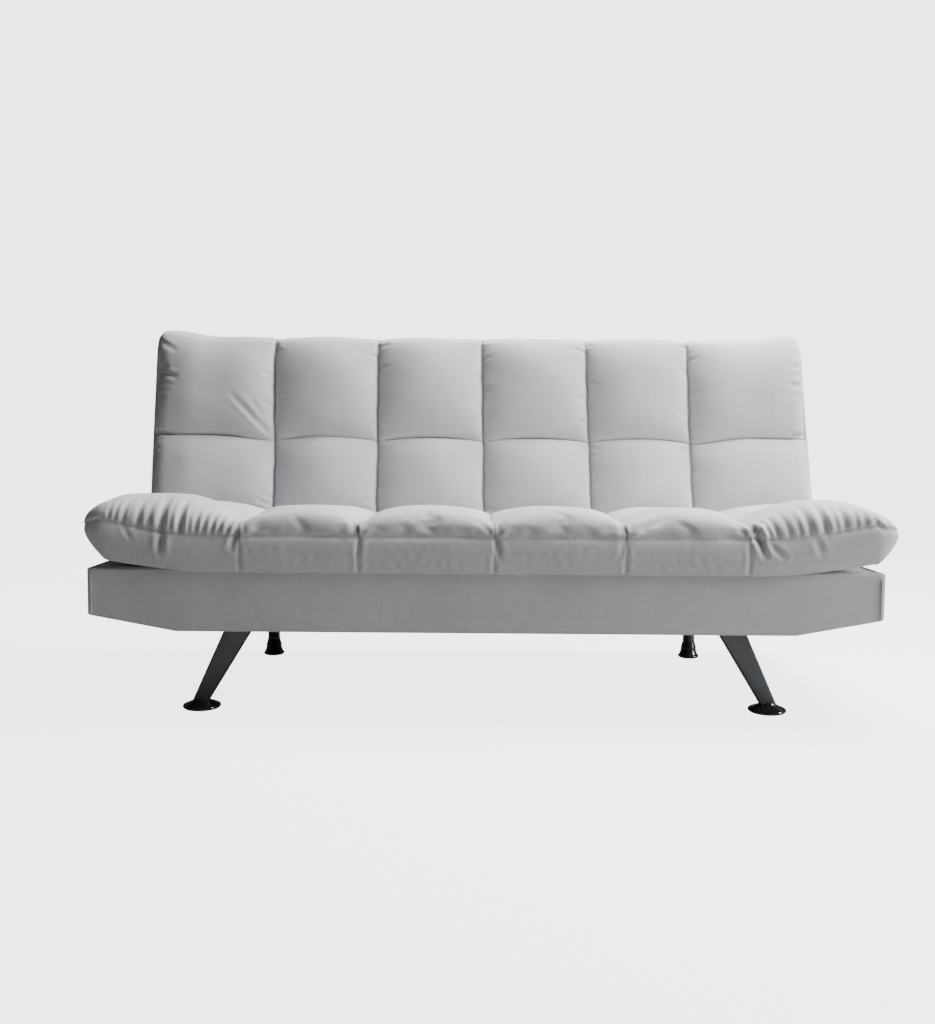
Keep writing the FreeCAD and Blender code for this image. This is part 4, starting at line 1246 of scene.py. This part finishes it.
def slacken_panel(place):
    """Lets the cloth of the front and rear panels wander a little between its edges."""
    x, y, z = place
    if BASE_FRONT + 0.0015 <= y <= BASE_REAR - 0.0015:
        return
    side = -1 if y < 0 else 1
    soft = min(max(min(z - LEG_HEIGHT, BASE_TOP - z, BASE_END - abs(x)), 0) / SOFT_EDGE, 1)
    wave = noise.noise(Vector((x * 5, side * 3.0, z * 7)))
    fine = noise.noise(Vector((x * 16, side * 3.0 + 7, z * 5)))
    place[1] -= side * soft * (0.0012 + 0.0012 * wave + 0.0006 * fine)


def make_base():
    """The cloth round the base, with its chamfered ends and its edges turned in above and below."""
    knee = BASE_HALF - CHAMFER_RUN
    piece = start_cube("base_upholstery", (-knee, BASE_FRONT, LEG_HEIGHT), (knee, BASE_REAR, BASE_TOP))
    for side in (-1, 1):
        pick(piece, lambda c, n: n.x * side > 0.9)
        bpy.ops.mesh.extrude_region_move(TRANSFORM_OT_translate={"value": (side * (BASE_END - knee), 0, 0)})
        close(piece)
        pick(piece, lambda c, n: c.x * side > BASE_END - 0.01 and c.z < LEG_HEIGHT + NEAR, "VERT")
        bpy.ops.transform.translate(value=(0, 0, CHAMFER_RISE))
        close(piece)

    def at_rim(c):
        reach = BASE_CORNER + NEAR
        return abs(c.y - BASE_FRONT) < reach or abs(c.y - BASE_REAR) < reach or abs(c.x) > BASE_END - reach

    def low_edge(c, d):
        low = c.z < LEG_HEIGHT + CHAMFER_RISE + 2 * NEAR
        return low and at_rim(c) and abs(d.z) < 0.5 and abs(d.y) < 0.99

    bevel_edges(piece, lambda c, d: abs(d.z) > 0.9 and abs(c.x) > BASE_END - 0.01, BASE_CORNER, 6)
    bevel_edges(piece, lambda c, d: abs(d.z) < 0.5 and abs(c.z - BASE_TOP) < NEAR, BASE_TOP_EDGE, 4)
    bevel_edges(piece, low_edge, BASE_LOW_EDGE, 3)
    for face_test in (lambda c, n: n.z > 0.98 and c.z > BASE_TOP - 2 * NEAR,
                      lambda c, n: n.z < -0.9 and abs(c.y - 0.01) < 0.2):
        pick(piece, face_test)
        bpy.ops.mesh.inset(thickness=TOP_TURN_IN, depth=0.0)
        bpy.ops.mesh.delete(type="FACE")
        close(piece)
    subdivide_faces(piece, lambda c, n: abs(n.y) > 0.9 or abs(n.x) > 0.9, 5)
    subdivide_faces(piece, lambda c, n: abs(n.y) > 0.9, 3)
    shift_points(piece, slacken_panel)
    give_wall(piece, CLOTH_WALL)
    finish_piece(piece, "base_fabric", "base", ("base_cover",))


def make_base_seams():
    """The upright seams at both ends of the front and rear panels of the base."""
    half = BASE_END - SEAM_INSET
    low = LEG_HEIGHT + 0.004
    tip = low + CHAMFER_RISE * (half - BASE_END + CHAMFER_RUN) / CHAMFER_RUN
    rise = BASE_TOP - 0.014 - tip
    for name, y, side in (("base_front_seam", BASE_FRONT, -1), ("base_rear_seam", BASE_REAR, 1)):
        for end, end_name in ((-1, "_left"), (1, "_right")):
            points = [(end * half, y + side * 0.0002, tip + rise * i / 24) for i in range(25)]
            finish_piece(tube_along(name + end_name, points, SEAM_RADIUS), "base_fabric", "base")


def inside_base(x, y, rim):
    """How far a point is inside the base's outline, less a rim."""
    return max(min(y - BASE_FRONT, BASE_REAR - y, BASE_HALF - abs(x)) - rim, 0)


def sink_deck(place):
    x, y, z = place
    if z > BASE_TOP - NEAR:
        wave = noise.noise(Vector((x * 4, y * 4, 5.0)))
        place[2] -= min(inside_base(x, y, DECK_EDGE + DECK_RIM) / 0.06, 1) * 0.0007 * (1 + wave)


def make_deck():
    """The cloth-covered deck that the seat rests on and the back comes down to."""
    piece = start_cube("base_deck_cloth", (-BASE_HALF + DECK_EDGE, BASE_FRONT + DECK_EDGE, BASE_TOP - 0.003),
                       (BASE_HALF - DECK_EDGE, BASE_REAR - DECK_EDGE, BASE_TOP - 0.0004))
    pick(piece, lambda c, n: n.z > 0.9)
    bpy.ops.mesh.inset(thickness=DECK_RIM, depth=0.0)
    bpy.ops.mesh.subdivide(number_cuts=60)
    close(piece)
    shift_points(piece, sink_deck)
    finish_piece(piece, "base_fabric", "base", ("seat_deck", "rear_deck"))


def sag_underside(place):
    x, y, z = place
    wave = noise.noise(Vector((x * 6, y * 6, 2.0)))
    place[2] += min(inside_base(x, y, UNDERSIDE_RIM) / 0.1, 1) * 0.0008 * (wave - 1)


def make_dust_cover():
    """The thin cloth under the base, sagging a little between its staples."""
    piece = bpy.data.objects.new("base_underside_cloth", nodes["base_dust_cover"].data.copy())
    bpy.context.scene.collection.objects.link(piece)
    edit(piece, "FACE", "SELECT")
    bpy.ops.mesh.remove_doubles(threshold=0.00002)
    bpy.ops.mesh.dissolve_limited(angle_limit=math.radians(1))
    bpy.ops.mesh.quads_convert_to_tris()
    bpy.ops.mesh.subdivide(number_cuts=8)
    close(piece)
    shift_points(piece, sag_underside)
    finish_piece(piece, "lining", "base", ("base_dust_cover",), 60)


# Legs and feet

FRONT_FOOT = (0.657, -0.280)
REAR_FOOT = (0.600, 0.322)
LEG_LEAN = math.tan(math.radians(28.5))
CONE_TOP = 0.023
PLATE_THICK = 0.003
PLATE_TOP = LEG_HEIGHT + 0.0033
LEG_TOP = PLATE_TOP - PLATE_THICK
PLATE_HALF = (0.055, 0.045)
BLADE_FOOT_HALF = (0.019, 0.014)
BLADE_TOP_HALF = (0.0325, 0.020)
BLADE_REAR_ROUND = 0.0125
BLADE_FRONT_ROUND = 0.0042
WELD_HALF = (0.031, 0.0185)
AXIS = 0.0001

# Turned outlines, as radius and height
DISC_OUTLINE = ((AXIS, 0.002), (0.0435, 0.002), (0.0435, 0.0075), (0.037, 0.0105), (0.020, 0.0175),
                (0.0165, 0.0235), (0.012, 0.0245), (AXIS, 0.0245))
BELL_OUTLINE = ((AXIS, 0.002), (0.0295, 0.002), (0.0295, 0.007), (0.026, 0.0095), (0.0225, 0.020),
                (0.0215, 0.0252), (AXIS, 0.0252))
POST_OUTLINE = ((AXIS, 0.025), (0.0222, 0.025), (0.0222, 0.028), (0.0208, 0.0335), (0.0172, 0.047),
                (0.017, 0.060), (0.017, LEG_TOP - 0.003), (0.0185, LEG_TOP), (AXIS, LEG_TOP))


def leg_plate(name, x, y):
    wide, deep = PLATE_HALF
    piece = start_cube(name, (x - wide, y - deep, LEG_TOP), (x + wide, y + deep, PLATE_TOP))
    bevel_edges(piece, lambda c, d: abs(d.z) > 0.9, 0.010, 5)
    return piece


def weld_points(x, y):
    """A rounded oblong round the top of a blade."""
    points = []
    for i in range(40):
        turn = 2 * math.pi * i / 40
        across = math.copysign(abs(math.cos(turn)) ** 0.4, math.cos(turn))
        back = math.copysign(abs(math.sin(turn)) ** 0.4, math.sin(turn))
        points.append((x + WELD_HALF[0] * across, y + WELD_HALF[1] * back, LEG_TOP - 0.0006))
    return points


def front_leg(side, name, node):
    """A tapering blade, flat in front and rounded behind, leaning out to its foot."""
    foot_x, y = FRONT_FOOT
    top_x = foot_x - (LEG_HEIGHT - CONE_TOP) * LEG_LEAN
    wide, deep = BLADE_FOOT_HALF
    blade = start_cube(name, (foot_x - wide, y - deep, CONE_TOP - 0.004), (foot_x + wide, y + deep, LEG_TOP))

    def widen_top(place):
        if place[2] > LEG_TOP - NEAR:
            place[0] = top_x + math.copysign(BLADE_TOP_HALF[0], place[0] - foot_x)
            place[1] = y + math.copysign(BLADE_TOP_HALF[1], place[1] - y)

    shift_points(blade, widen_top)
    bevel_edges(blade, lambda c, d: abs(d.z) > 0.5 and c.y > y, BLADE_REAR_ROUND, 8)
    bevel_edges(blade, lambda c, d: abs(d.z) > 0.5 and c.y < y, BLADE_FRONT_ROUND, 4)
    pick(blade, lambda c, n: True)
    bpy.ops.mesh.bisect(plane_co=(0, 0, LEG_TOP - 0.006), plane_no=(0, 0, 1))
    close(blade)
    plate = leg_plate(name + "_plate", top_x, y)
    bead = tube_along(name + "_weld", weld_points(top_x, y), 0.0022, True)
    whole = join(name, [blade, plate, bead])
    if side < 0:
        mirror(whole)
    finish_piece(whole, "leg_paint", "base", (node,), 35)


def rear_leg(side, name, node):
    x, y = side * REAR_FOOT[0], REAR_FOOT[1]
    post = lathe(name, rounded(POST_OUTLINE, 0.004), x, y, 40)
    finish_piece(join(name, [post, leg_plate(name + "_plate", x, y)]), "post_black", "base", (node,), 35)


def make_feet(name, outline, rounding, foot, steps, node):
    pair = []
    for side in (-1, 1):
        pair.append(lathe(name + "_part", rounded(outline, rounding), side * foot[0], foot[1], steps))
    finish_piece(join(name, pair), "foot_black", "base", (node,), 35)


# The rear of the back

PANEL_DEPTH = HEEL - 0.0042
PIPING_DEPTH = HEEL - 0.0032
PIPING_RADIUS = 0.0026
PANEL_WALL = 0.0012


def make_rear_panel():
    """The cloth that closes the back of the backrest, drawn tight over its frame, with a sewn edge."""
    places = np.array([v.co for v in nodes["back_cover"].data.vertices])
    up = upright(places)[1]
    half = float(places[:, 0].max())
    low, high = float(up.min()), float(up.max())
    deselect()
    bpy.ops.mesh.primitive_grid_add(x_subdivisions=150, y_subdivisions=46, size=1.0, location=(0, 0, 0))
    piece = bpy.context.object
    piece.name = "back_rear_panel"
    flat = vertex_places(piece)
    x = flat[:, 0] * 2 * half
    v = low + (flat[:, 1] + 0.5) * (high - low)
    from_sides = half - np.abs(x)
    from_ends = np.minimum(v - low, high - v)
    edge = np.minimum(from_ends, from_sides)
    tuck = np.clip(edge / 0.012, 0, 1)
    pucker = np.sin(x * 130) * np.exp(-from_ends / 0.018)
    pucker += np.sin(v * 140) * np.exp(-from_sides / 0.018)
    sag = np.array([noise.noise(Vector((a * 3.5, 0, b * 5))) for a, b in zip(x, v)])
    out = PANEL_DEPTH + 0.0012 * tuck + 0.0005 * pucker * tuck + 0.0010 * sag * np.clip(edge / 0.08, 0, 1)
    set_places(piece, np.column_stack([x, lean(out, v)]))
    give_wall(piece, PANEL_WALL)
    face_out(piece)
    finish_piece(piece, "base_fabric", "backrest", ("back_cover",), 60)
    corners = ((-half, low), (half, low), (half, high), (-half, high))
    ring = []
    for a, b in zip(corners, corners[1:] + corners[:1]):
        for x_at, v_at in line(a, b, 60):
            ring.append((x_at, *lean(PIPING_DEPTH, v_at)))
    finish_piece(tube_along("back_rear_piping", ring, PIPING_RADIUS, True), "base_fabric", "backrest")


# Put together

materials = make_materials()
add_camera()
add_studio()

for row in frame["record"]["subparts"]:
    solid = nodes.get(row["node"])
    if solid and row["material_slot"] in materials:
        solid.data.materials.clear()
        solid.data.materials.append(materials[row["material_slot"]])

make_base()
make_base_seams()
make_deck()
front_leg(-1, "left_front_blade", "front_left_leg")
front_leg(1, "right_front_blade", "front_right_leg")
rear_leg(-1, "left_rear_post", "rear_left_leg")
rear_leg(1, "right_rear_post", "rear_right_leg")
make_feet("front_foot_discs", DISC_OUTLINE, 0.0035, FRONT_FOOT, 56, "front_feet")
make_feet("rear_foot_bells", BELL_OUTLINE, 0.003, REAR_FOOT, 40, "rear_feet")
make_rear_panel()
make_dust_cover()
make_seat()
make_back()
